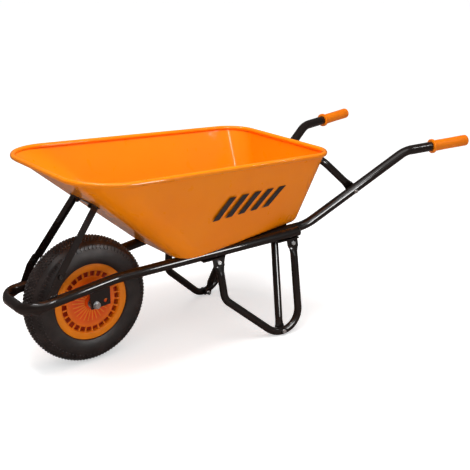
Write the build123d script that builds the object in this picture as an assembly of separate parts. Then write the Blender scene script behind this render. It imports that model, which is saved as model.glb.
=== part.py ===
from build123d import *
import os
from math import asin, atan2, cos, hypot, pi, radians, sin, sqrt

# Single-wheel builder's wheelbarrow. Millimetres, +Z up, +X from the wheel towards the handles.
# Sizes are set out from the axle (X = 0) and the ground (Z = 0); "half width" is a distance from
# the centre plane. The finished pieces are shifted along X at the end, so that the origin lies at
# the bottom centre of the whole barrow. Left is -Y.

# ---- fits ------------------------------------------------------------------------------------
SEAT = 0.1  # gap where two faces are pressed or welded together
HOLE_FIT = 0.4  # a bolt hole's radius is larger than its bolt by this
THREAD_FIT = 0.1  # a nut's bore is larger than its bolt by this
SLIDE_FIT = 0.15  # a grip or plug in or on its tube

# ---- wheel -----------------------------------------------------------------------------------
WHEEL_RADIUS = 200.0
TYRE_WIDTH = 98.0
TYRE_WALL = 6.0
TREAD_THICKNESS = 9.0
INNER_TUBE_WALL = 2.0
TUBE_FIT = 0.4  # gap between the inner tube and the tyre
TREAD_GROOVE = 3.0
TREAD_BLOCKS = 44
TREAD_GROOVE_WIDTH = 7.0
TREAD_GROOVE_PLACE = 0.36  # middle of a shoulder groove, as a share of the tyre's width
TREAD_GROOVE_REACH = 0.24  # length of a shoulder groove, as a share of the tyre's width
TREAD_SLOPE = 32.0
LUG_CUT = 20.0
BEAD_RADIUS = 101.5  # where the tyre sits on the rim
RIM_FLANGE_RADIUS = 120.8
RIM_HALF_WIDTH = 41.0
RIM_WALL = 4.0
RIM_FLANGE_THICKNESS = 3.5
RIM_FLANGE_TAPER = 1.5  # the flange is thicker at its root by this
WINDOW_COUNT = 26
WINDOW_OUTER_RADIUS = 95.5
WINDOW_INNER_RADIUS = 83.0
WINDOW_BAR = 5.5  # plastic left between two windows
WINDOW_MARGIN = 3.0  # flat left inside the windows, before the disc is dished
DISH_SAG = 3.0
WINDOW_PLANE = 30.0  # distance of the window ring from the wheel's middle
DISC_THICKNESS = 3.5
SPOKE_RIB_HEIGHT = 4.0
SPOKE_RIB_THICKNESS = 2.4
HUB_RADIUS = 24.0
HUB_HALF_LENGTH = 50.0
HUB_FACE = 38.0  # distance from the wheel's middle where the dished disc meets the hub
HUB_ROOT_THICKNESS = 4.5
HUB_CONE = 10.0  # length of the tapered end of the hub
HUB_CONE_DEPTH = 3.0
BEARING_SHOULDER = 2.5
VALVE_RADIUS = 4.0
VALVE_HOLE_RADIUS = 5.0
VALVE_STEM_END = 62.0  # distance of the valve's mouth from the axle

# ---- axle and bearings -----------------------------------------------------------------------
AXLE_RADIUS = 6.0
AXLE_HEAD_FLATS = 19.0
AXLE_HEAD_HEIGHT = 7.5
AXLE_NUT_HEIGHT = 10.0
AXLE_THREAD_BEYOND = 4.0
AXLE_WASHER_RADIUS = 12.0
AXLE_WASHER_THICKNESS = 2.5
BEARING_OUTER_RADIUS = 16.0
BEARING_WIDTH = 10.0
BEARING_RACE = 3.2
BEARING_BALLS = 8
BALL_RADIUS = 2.7
BALL_CLEARANCE = 0.15
SLEEVE_WALL = 2.5
SPACER_FLARE_RADIUS = 14.0
SPACER_FLARE_LENGTH = 9.0
SPACER_FLARE_EDGE = 2.0

# ---- frame tubes -----------------------------------------------------------------------------
FRAME_TUBE = 32.0
FRAME_WALL = 2.0
LIGHT_TUBE = 25.0
LIGHT_WALL = 1.8

NOSE_X = -231.0
NOSE_HEIGHT = 237.0
NOSE_BEND = 52.0
FRONT_HALF_WIDTH = 90.0
RAIL_BEND_X = 62.0
RAIL_BEND_HEIGHT = 278.0
RAIL_BEND = 320.0
RAIL_END_X = 696.0
RAIL_END_HALF_WIDTH = 181.0
RAIL_END_HEIGHT = 329.0

HANDLE_START_X = 305.0
HANDLE_BEND_X = 749.0
HANDLE_BEND = 130.0
HANDLE_KNEE_X = 1096.0
HANDLE_KNEE_HALF_WIDTH = 263.0
HANDLE_KNEE_HEIGHT = 559.0
HANDLE_KNEE_BEND = 95.0
GRIP_END_X = 1349.0
GRIP_END_HALF_WIDTH = 309.0
GRIP_END_HEIGHT = 572.0
GRIP_LENGTH = 150.0
GRIP_RADIUS = 19.0
GRIP_COLLAR_RADIUS = 24.5
GRIP_COLLAR_LENGTH = 7.0
GRIP_COLLAR_SLOPE = 4.0
GRIP_ROUND = 7.0
GRIP_END_WALL = 4.0

PLUG_DEPTH = 18.0
PLUG_FLANGE = 2.5

# ---- axle brackets ---------------------------------------------------------------------------
AXLE_BRACKET_THICKNESS = 4.0
AXLE_BRACKET_FRONT = -22.0
AXLE_BRACKET_REAR = 48.0
AXLE_BRACKET_BELOW_AXLE = 12.0
AXLE_BRACKET_TAPER = 4.0  # the front edge runs back by this towards its foot
AXLE_BRACKET_LIFT = 6.4  # the lower edge rises by this towards the rear
AXLE_BRACKET_CORNER = 3.0
SPARE_HOLE_X = 32.0
SPARE_HOLE_RISE = 8.5

# ---- legs and braces -------------------------------------------------------------------------
LEG_FRONT_X = 400.0
LEG_TILT = 0.185  # outward run of the legs for each millimetre of drop
LEG_FRONT_DROP = 158.0
LEG_FRONT_BEND = 42.0
LEG_FOOT_ALONG = 187.0
LEG_FOOT_BEND = 72.0
LEG_REAR_ALONG = 275.0
TAB_WIDTH = 36.0
TAB_THICKNESS = 5.0
TAB_LENGTH = 27.0
TAB_NECK = 26.0
NECK_SINK = 3.0  # a neck's flat end starts this far inside its tab
PRESS_MARGIN = 0.8  # and is slimmer than the tab by this
LEG_BRACKET_THICKNESS = 4.0
LEG_BRACKET_AHEAD = 56.0
LEG_BRACKET_BEHIND = 22.0

BAR_THICKNESS = 4.0
FRONT_BAR_X = 279.0
FRONT_BAR_WIDTH = 30.0
FRONT_BAR_BOLT_HALF_WIDTH = 58.0
REAR_BAR_X = 664.0
REAR_BAR_WIDTH = 40.0
BRACE_TOP_HALF_WIDTH = 78.0
BRACE_TAB_WIDTH = 32.0
BRACE_TOP_TAB = 28.0
BRACE_FOOT_TAB = 23.0
BRACE_FOOT_RISE = 6.5  # middle of the lower tab above its bolt
BRACE_FOOT_ANGLE = 0.0  # how far past the foot's lowest point the brace is bolted

# ---- rear hoop -------------------------------------------------------------------------------
HOOP_ANCHOR_X = 915.0
HOOP_HALF_WIDTH = 172.0
HOOP_HEIGHT = 565.0
HOOP_BEND = 55.0
HOOP_TAB = 28.0
HOOP_TAB_WIDTH = 32.0
HOOP_CLEARANCE = 1.5  # between the hoop and the tray's rear wall

# ---- front stays -----------------------------------------------------------------------------
STAY_WIDTH = 22.0
STAY_THICKNESS = 3.0
STAY_LIP = 9.0
STAY_FOOT_X = -151.0
STAY_KINK_X = -131.0
STAY_KINK_HEIGHT = 309.0
STAY_TOP_HEIGHT = 507.0
STAY_TOP_HALF_WIDTH = 72.0
STAY_TAB_OVERLAP = 34.0
STAY_BRACKET_MARGIN = 2.0  # the bracket is wider than the stay by this on each side
STAY_BOLT_RISE = 16.0  # from the kink along the stay
STAY_BOLT_STAND = 2.2  # the bolt is square to the stay, so its head stands off the bracket
CROSSPIECE_WIDTH = 25.0
CROSSPIECE_BOLT_HALF_WIDTH = 40.0

# ---- tray ------------------------------------------------------------------------------------
TRAY_WALL = 1.6
TRAY_WALL_SLOPE = 1.15  # a leaning wall is wider than the sheet, measured level, by this
RIM_FRONT_X = -126.0
RIM_FRONT_HALF_WIDTH = 298.0
RIM_FRONT_HEIGHT = 626.0
RIM_REAR_X = 778.0
RIM_REAR_HALF_WIDTH = 263.0
RIM_REAR_HEIGHT = 595.0
RIM_FRONT_CORNER = 145.0
RIM_REAR_CORNER = 90.0
FLOOR_FRONT_X = 252.0
FLOOR_FRONT_HALF_WIDTH = 185.0
FLOOR_FRONT_CORNER = 75.0
FLOOR_REAR_X = 738.0
FLOOR_REAR_HALF_WIDTH = 142.0
FLOOR_REAR_CORNER = 48.0
FLOOR_EDGE_BEND = 30.0
ROLLED_EDGE_RADIUS = 8.0

# ---- fasteners -------------------------------------------------------------------------------
M8_RADIUS = 4.0
M8_FLATS = 13.0
M8_HEAD_HEIGHT = 5.3
M8_NUT_HEIGHT = 6.5
M8_WASHER_RADIUS = 8.0
M8_WASHER_THICKNESS = 1.6
M8_BEYOND_NUT = 2.5
DOME_HEAD_RADIUS = 9.5
DOME_HEAD_HEIGHT = 4.0
DRILL_BEYOND = 5.0  # a drilled hole starts before and ends beyond the parts it joins

HEAD_CHAMFER_SHARE = 0.36  # of a hexagon head's height
HEAD_CORNER_SHARE = 0.62  # radius of the head's corners, as a share of its flats
HEAD_CROWN_SHARE = 0.44  # radius of the head's flat top, as a share of its flats

# ---- values that follow from the sizes above ---------------------------------------------------
ABOVE = (Align.CENTER, Align.CENTER, Align.MIN)
UNDER = (Align.CENTER, Align.CENTER, Align.MAX)
TUBE_RADIUS = FRAME_TUBE / 2
LIGHT_RADIUS = LIGHT_TUBE / 2
SPLAY = (RAIL_END_HALF_WIDTH - FRONT_HALF_WIDTH) / (RAIL_END_X - RAIL_BEND_X)
RISE = (RAIL_END_HEIGHT - RAIL_BEND_HEIGHT) / (RAIL_END_X - RAIL_BEND_X)
FRONT_RISE = (RAIL_BEND_HEIGHT - NOSE_HEIGHT) / (RAIL_BEND_X - NOSE_X)
HANDLE_OFFSET = FRAME_TUBE + SEAT
AXLE_HEIGHT = WHEEL_RADIUS
AXLE_BRACKET_OUTSIDE = FRONT_HALF_WIDTH - TUBE_RADIUS - SEAT
AXLE_BRACKET_INSIDE = AXLE_BRACKET_OUTSIDE - AXLE_BRACKET_THICKNESS
BEARING_CENTRE = HUB_HALF_LENGTH - BEARING_WIDTH / 2
LEG_TAB_TOP = TUBE_RADIUS + LEG_BRACKET_THICKNESS + 1.5
LEG_BOLT_DEPTH = LEG_TAB_TOP + 0.5 * TAB_LENGTH
LEG_EAR_DEPTH = LEG_TAB_TOP + TAB_LENGTH - 4.0
TRAY_BOLT_X = LEG_FRONT_X - 20.0


def rail_half_width(x):
    return FRONT_HALF_WIDTH + SPLAY * (x - RAIL_BEND_X)


def rail_height(x):
    return RAIL_BEND_HEIGHT + RISE * (x - RAIL_BEND_X)


def front_rail_height(x):
    return RAIL_BEND_HEIGHT + FRONT_RISE * (x - RAIL_BEND_X)


def handle_half_width(x):
    return rail_half_width(x) - HANDLE_OFFSET * sqrt(1 + SPLAY**2 / (1 + RISE**2))


def frame_up():
    """Square to the plane that holds both rails and both handle tubes under the tray."""
    return Vector(-RISE, 0, 1).normalized()


def rail_plane(side, x):
    """On the rail's centre line: the point, along the rail, inwards, and up."""
    along = Vector(1, side * SPLAY, RISE).normalized()
    up = frame_up()
    inward = up.cross(along) * -side
    origin = Vector(x, side * rail_half_width(x), rail_height(x))
    return origin, along, inward, up


def on_rail(side, x, inward=0.0, up=0.0, along=0.0):
    origin, a, i, u = rail_plane(side, x)
    return origin + a * along + i * inward + u * up


def leg_frame(side):
    """On the rail above the front leg: along the rail, down the leg, and outwards across it."""
    origin, along, _, _ = rail_plane(side, LEG_FRONT_X)
    fall = Vector(0, side * LEG_TILT, -1)
    down = (fall - along * fall.dot(along)).normalized()
    outward = along.cross(down) * side
    return origin, along, down, outward


def in_leg(side, along, down, out=0.0):
    origin, a, d, o = leg_frame(side)
    return origin + a * along + d * down + o * out


# ---- general shapes ----------------------------------------------------------------------------
def ring_face(centre, direction, outer, wall):
    plane = Plane(origin=centre, z_dir=direction)
    return plane * (Circle(outer) - Circle(outer - wall))


def tube(points, bends, outer, wall):
    """A hollow tube along straight runs joined by arcs."""
    if bends:
        path = FilletPolyline(*points, radius=bends)
    else:
        path = Line(*points)
    return sweep(ring_face(path @ 0, path % 0, outer, wall), path=path)


def rod(start, end, radius):
    axis = Vector(end) - Vector(start)
    return extrude(Plane(origin=start, z_dir=axis) * Circle(radius), axis.length)


def block(centre, x_dir, z_dir, sizes):
    """A box about a point, with its X and Z edges along the directions given."""
    return Plane(origin=centre, x_dir=x_dir, z_dir=z_dir) * Box(*sizes)


def turned(profile, spin_plane):
    """A solid of revolution from (radius, position) points, about the plane's normal."""
    face = make_face(Plane.XZ * Polyline(*profile, close=True))
    return spin_plane * revolve(face, Axis.Z)


def across(y):
    """A plane at this Y on the wheel's axis, whose normal is +Y."""
    return Plane(origin=(0, y, AXLE_HEIGHT), x_dir=(1, 0, 0), z_dir=(0, 1, 0))


def wheel_turned(profile):
    return turned(profile, across(0))


def hexagon(flats):
    return RegularPolygon(radius=flats / 2, side_count=6, major_radius=False)


def bolt_plane(seat, into):
    """At a bolt head's seat, with the shank running along the given direction."""
    return Plane(origin=seat, z_dir=Vector(into) * -1)


def hex_bolt(seat, into, length, radius=M8_RADIUS, flats=M8_FLATS, head=M8_HEAD_HEIGHT):
    """A hexagon-head bolt whose upper corners are turned off at an angle."""
    crown_height = HEAD_CHAMFER_SHARE * head
    cone = Cone(HEAD_CORNER_SHARE * flats, HEAD_CROWN_SHARE * flats, crown_height, align=UNDER)
    crown = Cylinder(flats, head - crown_height, align=ABOVE) + Pos(0, 0, head) * cone
    shape = extrude(hexagon(flats), head) & crown
    shape += Cylinder(radius, length, align=UNDER)
    return bolt_plane(seat, into) * shape


def dome_bolt(seat, into, length, radius=M8_RADIUS):
    sphere_radius = (DOME_HEAD_RADIUS**2 + DOME_HEAD_HEIGHT**2) / (2 * DOME_HEAD_HEIGHT)
    dome = Pos(0, 0, DOME_HEAD_HEIGHT - sphere_radius) * Sphere(sphere_radius)
    dome &= Cylinder(DOME_HEAD_RADIUS + 1, DOME_HEAD_HEIGHT + 1, align=ABOVE)
    shank = Cylinder(radius, length, align=UNDER)
    return bolt_plane(seat, into) * (dome + shank)


def collar(seat, into, radius, bolt_radius, thickness):
    """A washer whose near face is at the seat."""
    shape = Cylinder(radius, thickness, align=UNDER)
    shape -= Cylinder(bolt_radius + HOLE_FIT, 3 * thickness)
    return bolt_plane(seat, into) * shape


def hex_nut(seat, into, radius=M8_RADIUS, flats=M8_FLATS, height=M8_NUT_HEIGHT):
    """A nut whose near face is at the seat."""
    shape = extrude(hexagon(flats), -height)
    shape -= Cylinder(radius + THREAD_FIT, 3 * height)
    return bolt_plane(seat, into) * shape


def stack(kind, seat, into, grip):
    """Bolt, washer and nut that clamp a given thickness, as three solids."""
    length = grip + M8_WASHER_THICKNESS + M8_NUT_HEIGHT + M8_BEYOND_NUT
    direction = Vector(into).normalized()
    bolt = kind(seat, direction, length)
    washer_seat = Vector(seat) + direction * grip
    washer = collar(washer_seat, direction, M8_WASHER_RADIUS, M8_RADIUS, M8_WASHER_THICKNESS)
    nut = hex_nut(washer_seat + direction * M8_WASHER_THICKNESS, direction)
    return bolt, washer, nut


def drill(seat, into, depth, radius=M8_RADIUS):
    """The hole that a bolt needs, started a little before its seat."""
    direction = Vector(into).normalized()
    start = Vector(seat) - direction * DRILL_BEYOND
    return rod(start, start + direction * (depth + 2 * DRILL_BEYOND), radius + HOLE_FIT)


def flattened_neck(tube_end, tube_axis, tab_start, tab_axis, tab_normal, width):
    """Where a round tube is pressed flat: round at one end, a slot shape at the other."""
    round_plane = Plane(origin=tube_end, x_dir=tab_normal.cross(tube_axis), z_dir=tube_axis)
    flat_plane = Plane(origin=tab_start, x_dir=tab_normal.cross(tab_axis), z_dir=tab_axis)
    slot = SlotOverall(width - PRESS_MARGIN, TAB_THICKNESS - PRESS_MARGIN)
    return loft([round_plane * Circle(LIGHT_RADIUS), flat_plane * slot])


# ---- where the bolts go ------------------------------------------------------------------------
def tray_bolt_line(side):
    """Seat inside the tray, direction and grip of the bolt through handle tube and bracket."""
    _, _, _, up = rail_plane(side, TRAY_BOLT_X)
    floor_inside = TUBE_RADIUS + SEAT + TRAY_WALL
    seat = on_rail(side, TRAY_BOLT_X, inward=HANDLE_OFFSET, up=floor_inside + SEAT)
    return seat, up * -1, floor_inside + TUBE_RADIUS + 3 * SEAT + LEG_BRACKET_THICKNESS


def bar_bolt_line(side, x, half_width, below):
    """Seat inside the tray, direction and grip of a bolt through the floor and a cross bar."""
    up = frame_up()
    on_bar = Vector(x, side * half_width, tray_floor_height(x))
    return on_bar + up * (TRAY_WALL + SEAT), up * -1, TRAY_WALL + 3 * SEAT + BAR_THICKNESS + below


def front_bar_bolt_line(side):
    return bar_bolt_line(side, FRONT_BAR_X, FRONT_BAR_BOLT_HALF_WIDTH, 0.0)


def rear_bar_bolt_line(side):
    return bar_bolt_line(side, REAR_BAR_X, BRACE_TOP_HALF_WIDTH, TAB_THICKNESS + SEAT)


def leg_bolt_line(side, along):
    """Seat on the outside of a leg's flattened top, direction, and thickness clamped."""
    _, _, _, outward = leg_frame(side)
    seat = in_leg(side, along, LEG_BOLT_DEPTH, TAB_THICKNESS / 2 + SEAT)
    return seat, outward * -1, TAB_THICKNESS + LEG_BRACKET_THICKNESS + 3 * SEAT


def hoop_anchor(side):
    """The point of the handle tube's centre line where the rear hoop is bolted on."""
    low, high = handle_corners(side)
    share = (HOOP_ANCHOR_X - low.X) / (high.X - low.X)
    return low + (high - low) * share


def hoop_bolt_line(side):
    low, high = handle_corners(side)
    slope = (high - low).normalized()
    inward = (Vector(0, -side, 0) - slope * (-side * slope.Y)).normalized()
    seat = hoop_anchor(side) - inward * (TUBE_RADIUS + SEAT)
    return seat, inward, FRAME_TUBE + 3 * SEAT + TAB_THICKNESS


# ---- wheel -------------------------------------------------------------------------------------
def rim_profile():
    """Outline of the barrel that carries the tyre, with its two flanges."""
    w = RIM_HALF_WIDTH
    t = RIM_FLANGE_THICKNESS
    inner = BEAD_RADIUS - RIM_WALL
    return [
        (inner, -w),
        (RIM_FLANGE_RADIUS, -w),
        (RIM_FLANGE_RADIUS, -w + t),
        (BEAD_RADIUS, -w + t + RIM_FLANGE_TAPER),
        (BEAD_RADIUS, w - t - RIM_FLANGE_TAPER),
        (RIM_FLANGE_RADIUS, w - t),
        (RIM_FLANGE_RADIUS, w),
        (inner, w),
    ]


def hub_profile():
    """Outline of the hub, bored for a bearing at each end and cleared in between."""
    shoulder = HUB_HALF_LENGTH - BEARING_WIDTH - SEAT
    seat_radius = BEARING_OUTER_RADIUS + SEAT
    cleared = BEARING_OUTER_RADIUS - BEARING_SHOULDER
    upper = [
        (HUB_RADIUS, HUB_HALF_LENGTH - HUB_CONE),
        (HUB_RADIUS - HUB_CONE_DEPTH, HUB_HALF_LENGTH),
        (seat_radius, HUB_HALF_LENGTH),
        (seat_radius, shoulder),
        (cleared, shoulder),
    ]
    return upper + [(radius, -y) for radius, y in reversed(upper)]


def dish(sign):
    """One of the two dished discs that join the barrel to the hub."""
    outer = BEAD_RADIUS - RIM_WALL
    ring = sign * WINDOW_PLANE
    ring_back = sign * (WINDOW_PLANE - DISC_THICKNESS)
    hub_face = sign * HUB_FACE
    hub_back = sign * (HUB_FACE - HUB_ROOT_THICKNESS)
    edge = WINDOW_INNER_RADIUS - WINDOW_MARGIN
    middle = 0.5 * (edge + HUB_RADIUS)
    sag = sign * DISH_SAG
    return wheel_turned([
        (outer + 1, ring),
        (edge, ring),
        (middle, 0.5 * (ring + hub_face) - sag),
        (HUB_RADIUS - 1, hub_face),
        (HUB_RADIUS - 1, hub_back),
        (middle, 0.5 * (ring_back + hub_back) - sag),
        (edge, ring_back),
        (outer + 1, ring_back),
    ])


def windows():
    """The ring of openings between the barrel and the discs."""
    middle = 0.5 * (WINDOW_OUTER_RADIUS + WINDOW_INNER_RADIUS)
    pitch = 2 * pi * middle / WINDOW_COUNT
    height = WINDOW_OUTER_RADIUS - WINDOW_INNER_RADIUS
    cut = Pos(middle, 0, 0) * Box(height, pitch - WINDOW_BAR, 2 * RIM_HALF_WIDTH)
    return [across(0) * (Rot(0, 0, 360 / WINDOW_COUNT * i) * cut) for i in range(WINDOW_COUNT)]


def spoke_ribs():
    """Thin radial ribs on both discs, one between each pair of windows."""
    edge = WINDOW_INNER_RADIUS - WINDOW_MARGIN
    middle = 0.5 * (edge + HUB_RADIUS)
    ribs = []
    for sign in (-1, 1):
        ring = sign * WINDOW_PLANE
        hub_face = sign * HUB_FACE
        middle_face = 0.5 * (ring + hub_face) - sign * DISH_SAG
        outline = Polyline(
            (edge - 0.5, ring - 0.5 * sign * DISC_THICKNESS),
            (edge - 0.5, ring + sign * 0.5),
            (middle, middle_face + sign * SPOKE_RIB_HEIGHT),
            (HUB_RADIUS - 1.5, hub_face + sign * SPOKE_RIB_HEIGHT),
            (HUB_RADIUS - 1.5, hub_face - 0.5 * sign * DISC_THICKNESS),
            (middle, middle_face - 0.5 * sign * DISC_THICKNESS),
            close=True,
        )
        rib = extrude(make_face(Plane.XZ * outline), SPOKE_RIB_THICKNESS / 2, both=True)
        ribs += [across(0) * (Rot(0, 0, 360 / WINDOW_COUNT * (i + 0.5)) * rib) for i in range(WINDOW_COUNT)]
    return ribs


def wheel_rim():
    barrel = wheel_turned(rim_profile())
    hub = wheel_turned(hub_profile())
    rim = barrel + hub + dish(-1) + dish(1)
    rim -= windows()
    rim += spoke_ribs()
    rim -= valve_line(VALVE_HOLE_RADIUS, VALVE_STEM_END, BEAD_RADIUS + 4)
    return rim


def valve_line(radius, inner, outer):
    """A rod along the valve, which points from the rim straight at the axle."""
    angle = radians(-90 + 180 / WINDOW_COUNT)
    ray = Vector(cos(angle), 0, sin(angle))
    axle = Vector(0, 0, AXLE_HEIGHT)
    return rod(axle + ray * inner, axle + ray * outer, radius)


def ring_section(outer_radius, half_width, foot, foot_half, shelf_radius, shelf_half, lip_half):
    """Half outline of a tyre or inner tube as edges in (radius, y): foot, shelf against the rim
    flange, bulging side wall, shoulder and crown."""
    widest = shelf_radius + 0.36 * (outer_radius - shelf_radius)
    shoulder_point = (outer_radius - 15.0, 0.84 * half_width)
    return [
        Line((foot, 0), (foot, foot_half)),
        Line((foot, foot_half), (shelf_radius, shelf_half)),
        Line((shelf_radius, shelf_half), (shelf_radius, lip_half)),
        TangentArc((widest, half_width), (shelf_radius, lip_half), tangent=(-1, 0)),
        TangentArc((widest, half_width), shoulder_point, tangent=(1, 0)),
        TangentArc((outer_radius, 0), shoulder_point, tangent=(0, 1)),
    ]


def section_face(edges):
    """The section on both sides of the wheel's middle, from its half outline."""
    upper = [Plane.XZ * edge for edge in edges]
    return make_face(upper + [mirror(edge, Plane.XY) for edge in upper])


def bead_half_width():
    return RIM_HALF_WIDTH - RIM_FLANGE_THICKNESS - 1.8


def air_space(gap):
    """Section of the tyre's hollow, drawn in all round by a gap."""
    inner_half = bead_half_width() - TYRE_WALL - gap
    return section_face(ring_section(
        WHEEL_RADIUS - TREAD_THICKNESS - gap,
        TYRE_WIDTH / 2 - TYRE_WALL - gap,
        BEAD_RADIUS + TYRE_WALL + gap,
        inner_half,
        RIM_FLANGE_RADIUS + 3.0 + gap,
        inner_half + 1.0,
        inner_half + 2.0,
    ))


def tyre():
    foot_half = bead_half_width()
    section = section_face(ring_section(
        WHEEL_RADIUS,
        TYRE_WIDTH / 2,
        BEAD_RADIUS + SEAT,
        foot_half,
        RIM_FLANGE_RADIUS + 0.8,
        foot_half + 1.2,
        RIM_HALF_WIDTH + 1.0,
    ))
    well = wheel_turned([
        (BEAD_RADIUS - 1, -foot_half + 12),
        (BEAD_RADIUS + 8, -foot_half + 12),
        (BEAD_RADIUS + 8, foot_half - 12),
        (BEAD_RADIUS - 1, foot_half - 12),
    ])
    body = across(0) * revolve(section - air_space(0), Axis.Z)
    return body - well - tread_grooves()


def tread_grooves():
    """Shoulder grooves across the tread, evenly spaced round the tyre on both sides."""
    centre = WHEEL_RADIUS - TREAD_GROOVE + LUG_CUT / 2
    place = TREAD_GROOVE_PLACE * TYRE_WIDTH
    reach = TREAD_GROOVE_REACH * TYRE_WIDTH
    grooves = []
    for sign in (-1, 1):
        slope = Rot(0, -sign * TREAD_SLOPE, 0)
        cut = Pos(centre, 0, sign * place) * slope * Box(LUG_CUT, TREAD_GROOVE_WIDTH, reach)
        grooves += [Rot(0, 0, 360 / TREAD_BLOCKS * i) * cut for i in range(TREAD_BLOCKS)]
    return [across(0) * groove for groove in grooves]


def inner_tube():
    section = air_space(TUBE_FIT) - air_space(TUBE_FIT + INNER_TUBE_WALL)
    return across(0) * revolve(section, Axis.Z)


def valve_stem():
    """Stem from the inner tube through the rim, with its mouth open."""
    stem = valve_line(VALVE_RADIUS, VALVE_STEM_END, BEAD_RADIUS + 6)
    return stem - valve_line(1.6, VALVE_STEM_END - 1, VALVE_STEM_END + 24)


def valve_cap():
    cap = valve_line(VALVE_RADIUS + 1.6, VALVE_STEM_END - 3, VALVE_STEM_END + 9)
    return cap - valve_line(VALVE_RADIUS + SLIDE_FIT, VALVE_STEM_END - 0.5, VALVE_STEM_END + 12)


# ---- axle and bearings -------------------------------------------------------------------------
def race_profile(inner, outer):
    """A race's turned section, before the groove that the balls run in is cut."""
    half = BEARING_WIDTH / 2 - SEAT
    return [(inner, -half), (outer, -half), (outer, half), (inner, half)]


def ball_track():
    """The torus that the balls sweep, a little fatter than a ball."""
    pitch = ball_pitch_radius()
    section = Plane.XZ * (Pos(pitch, 0) * Circle(BALL_RADIUS + BALL_CLEARANCE))
    return revolve(section, Axis.Z)


def ball_pitch_radius():
    return 0.5 * (AXLE_RADIUS + BEARING_OUTER_RADIUS)


def bearing_rings(inner, outer):
    rings = []
    for sign in (-1, 1):
        ring = turned(race_profile(inner, outer), Plane.XY) - ball_track()
        rings.append(across(sign * BEARING_CENTRE) * ring)
    return rings


def bearing_balls():
    ball = Pos(ball_pitch_radius(), 0, 0) * Sphere(BALL_RADIUS)
    balls = []
    for sign in (-1, 1):
        for i in range(BEARING_BALLS):
            balls.append(across(sign * BEARING_CENTRE) * (Rot(0, 0, 360 / BEARING_BALLS * i) * ball))
    return balls


def axle_sleeve(start, end, wall):
    """A spacer tube on the axle between two Y positions."""
    inner = AXLE_RADIUS + HOLE_FIT / 2
    return wheel_turned([(inner, start), (inner + wall, start), (inner + wall, end), (inner, end)])


def bearing_sleeve():
    """The tube that keeps the two inner races apart."""
    reach = HUB_HALF_LENGTH - BEARING_WIDTH
    return axle_sleeve(-reach, reach, SLEEVE_WALL)


def axle_spacers():
    """A spacer at each side between the bearing and the plate, flared where it meets the plate."""
    start = HUB_HALF_LENGTH
    end = AXLE_BRACKET_INSIDE - SEAT
    bore = AXLE_RADIUS + HOLE_FIT / 2
    flare_start = end - SPACER_FLARE_LENGTH
    spacers = []
    for sign in (-1, 1):
        flare = wheel_turned([
            (bore, sign * flare_start),
            (bore + SLEEVE_WALL, sign * flare_start),
            (SPACER_FLARE_RADIUS, sign * (end - SPACER_FLARE_EDGE)),
            (SPACER_FLARE_RADIUS, sign * end),
            (bore, sign * end),
        ])
        spacers.append(axle_sleeve(sign * start, sign * end, SLEEVE_WALL) + flare)
    return spacers


def axle_bolt():
    seat = (0, -(AXLE_BRACKET_OUTSIDE + AXLE_WASHER_THICKNESS + 2 * SEAT), AXLE_HEIGHT)
    grip = 2 * (AXLE_BRACKET_OUTSIDE + AXLE_WASHER_THICKNESS + 2 * SEAT)
    length = grip + AXLE_NUT_HEIGHT + AXLE_THREAD_BEYOND
    return hex_bolt(seat, (0, 1, 0), length, AXLE_RADIUS, AXLE_HEAD_FLATS, AXLE_HEAD_HEIGHT)


def axle_nut():
    seat = (0, AXLE_BRACKET_OUTSIDE + AXLE_WASHER_THICKNESS + 2 * SEAT, AXLE_HEIGHT)
    return hex_nut(seat, (0, 1, 0), AXLE_RADIUS, AXLE_HEAD_FLATS, AXLE_NUT_HEIGHT)


def axle_washers():
    seats = []
    for side in (-1, 1):
        seat = (0, side * (AXLE_BRACKET_OUTSIDE + SEAT), AXLE_HEIGHT)
        seats.append(collar(seat, (0, side, 0), AXLE_WASHER_RADIUS, AXLE_RADIUS, AXLE_WASHER_THICKNESS))
    return seats


def axle_bracket(side):
    """Plate welded to the inner side of a rail, with the axle hole and a spare hole behind it."""
    low = -AXLE_BRACKET_BELOW_AXLE
    outline = Polygon(
        (AXLE_BRACKET_FRONT, front_rail_height(AXLE_BRACKET_FRONT) - AXLE_HEIGHT),
        (AXLE_BRACKET_FRONT + AXLE_BRACKET_TAPER, low),
        (AXLE_BRACKET_REAR, low + AXLE_BRACKET_LIFT),
        (AXLE_BRACKET_REAR, front_rail_height(AXLE_BRACKET_REAR) - AXLE_HEIGHT),
        align=None,
    )
    outline = fillet(outline.vertices().sort_by(Axis.Y)[:2], AXLE_BRACKET_CORNER)
    outline -= Circle(AXLE_RADIUS + HOLE_FIT)
    outline -= Pos(SPARE_HOLE_X, SPARE_HOLE_RISE) * Circle(AXLE_RADIUS + HOLE_FIT)
    face = Vector(0, side * AXLE_BRACKET_OUTSIDE, AXLE_HEIGHT)
    plane = Plane(origin=face, x_dir=(1, 0, 0), z_dir=(0, -1, 0))
    return extrude(plane * outline, side * AXLE_BRACKET_THICKNESS)


# ---- frame -------------------------------------------------------------------------------------
def front_loop():
    """One bent tube: left rail, nose bar in front of the wheel, right rail."""
    half = [
        Vector(RAIL_END_X, -RAIL_END_HALF_WIDTH, RAIL_END_HEIGHT),
        Vector(RAIL_BEND_X, -FRONT_HALF_WIDTH, RAIL_BEND_HEIGHT),
        Vector(NOSE_X, -FRONT_HALF_WIDTH, NOSE_HEIGHT),
    ]
    other = [Vector(p.X, -p.Y, p.Z) for p in reversed(half)]
    return tube(half + other, [RAIL_BEND, NOSE_BEND, NOSE_BEND, RAIL_BEND], TUBE_RADIUS, FRAME_WALL)


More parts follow.
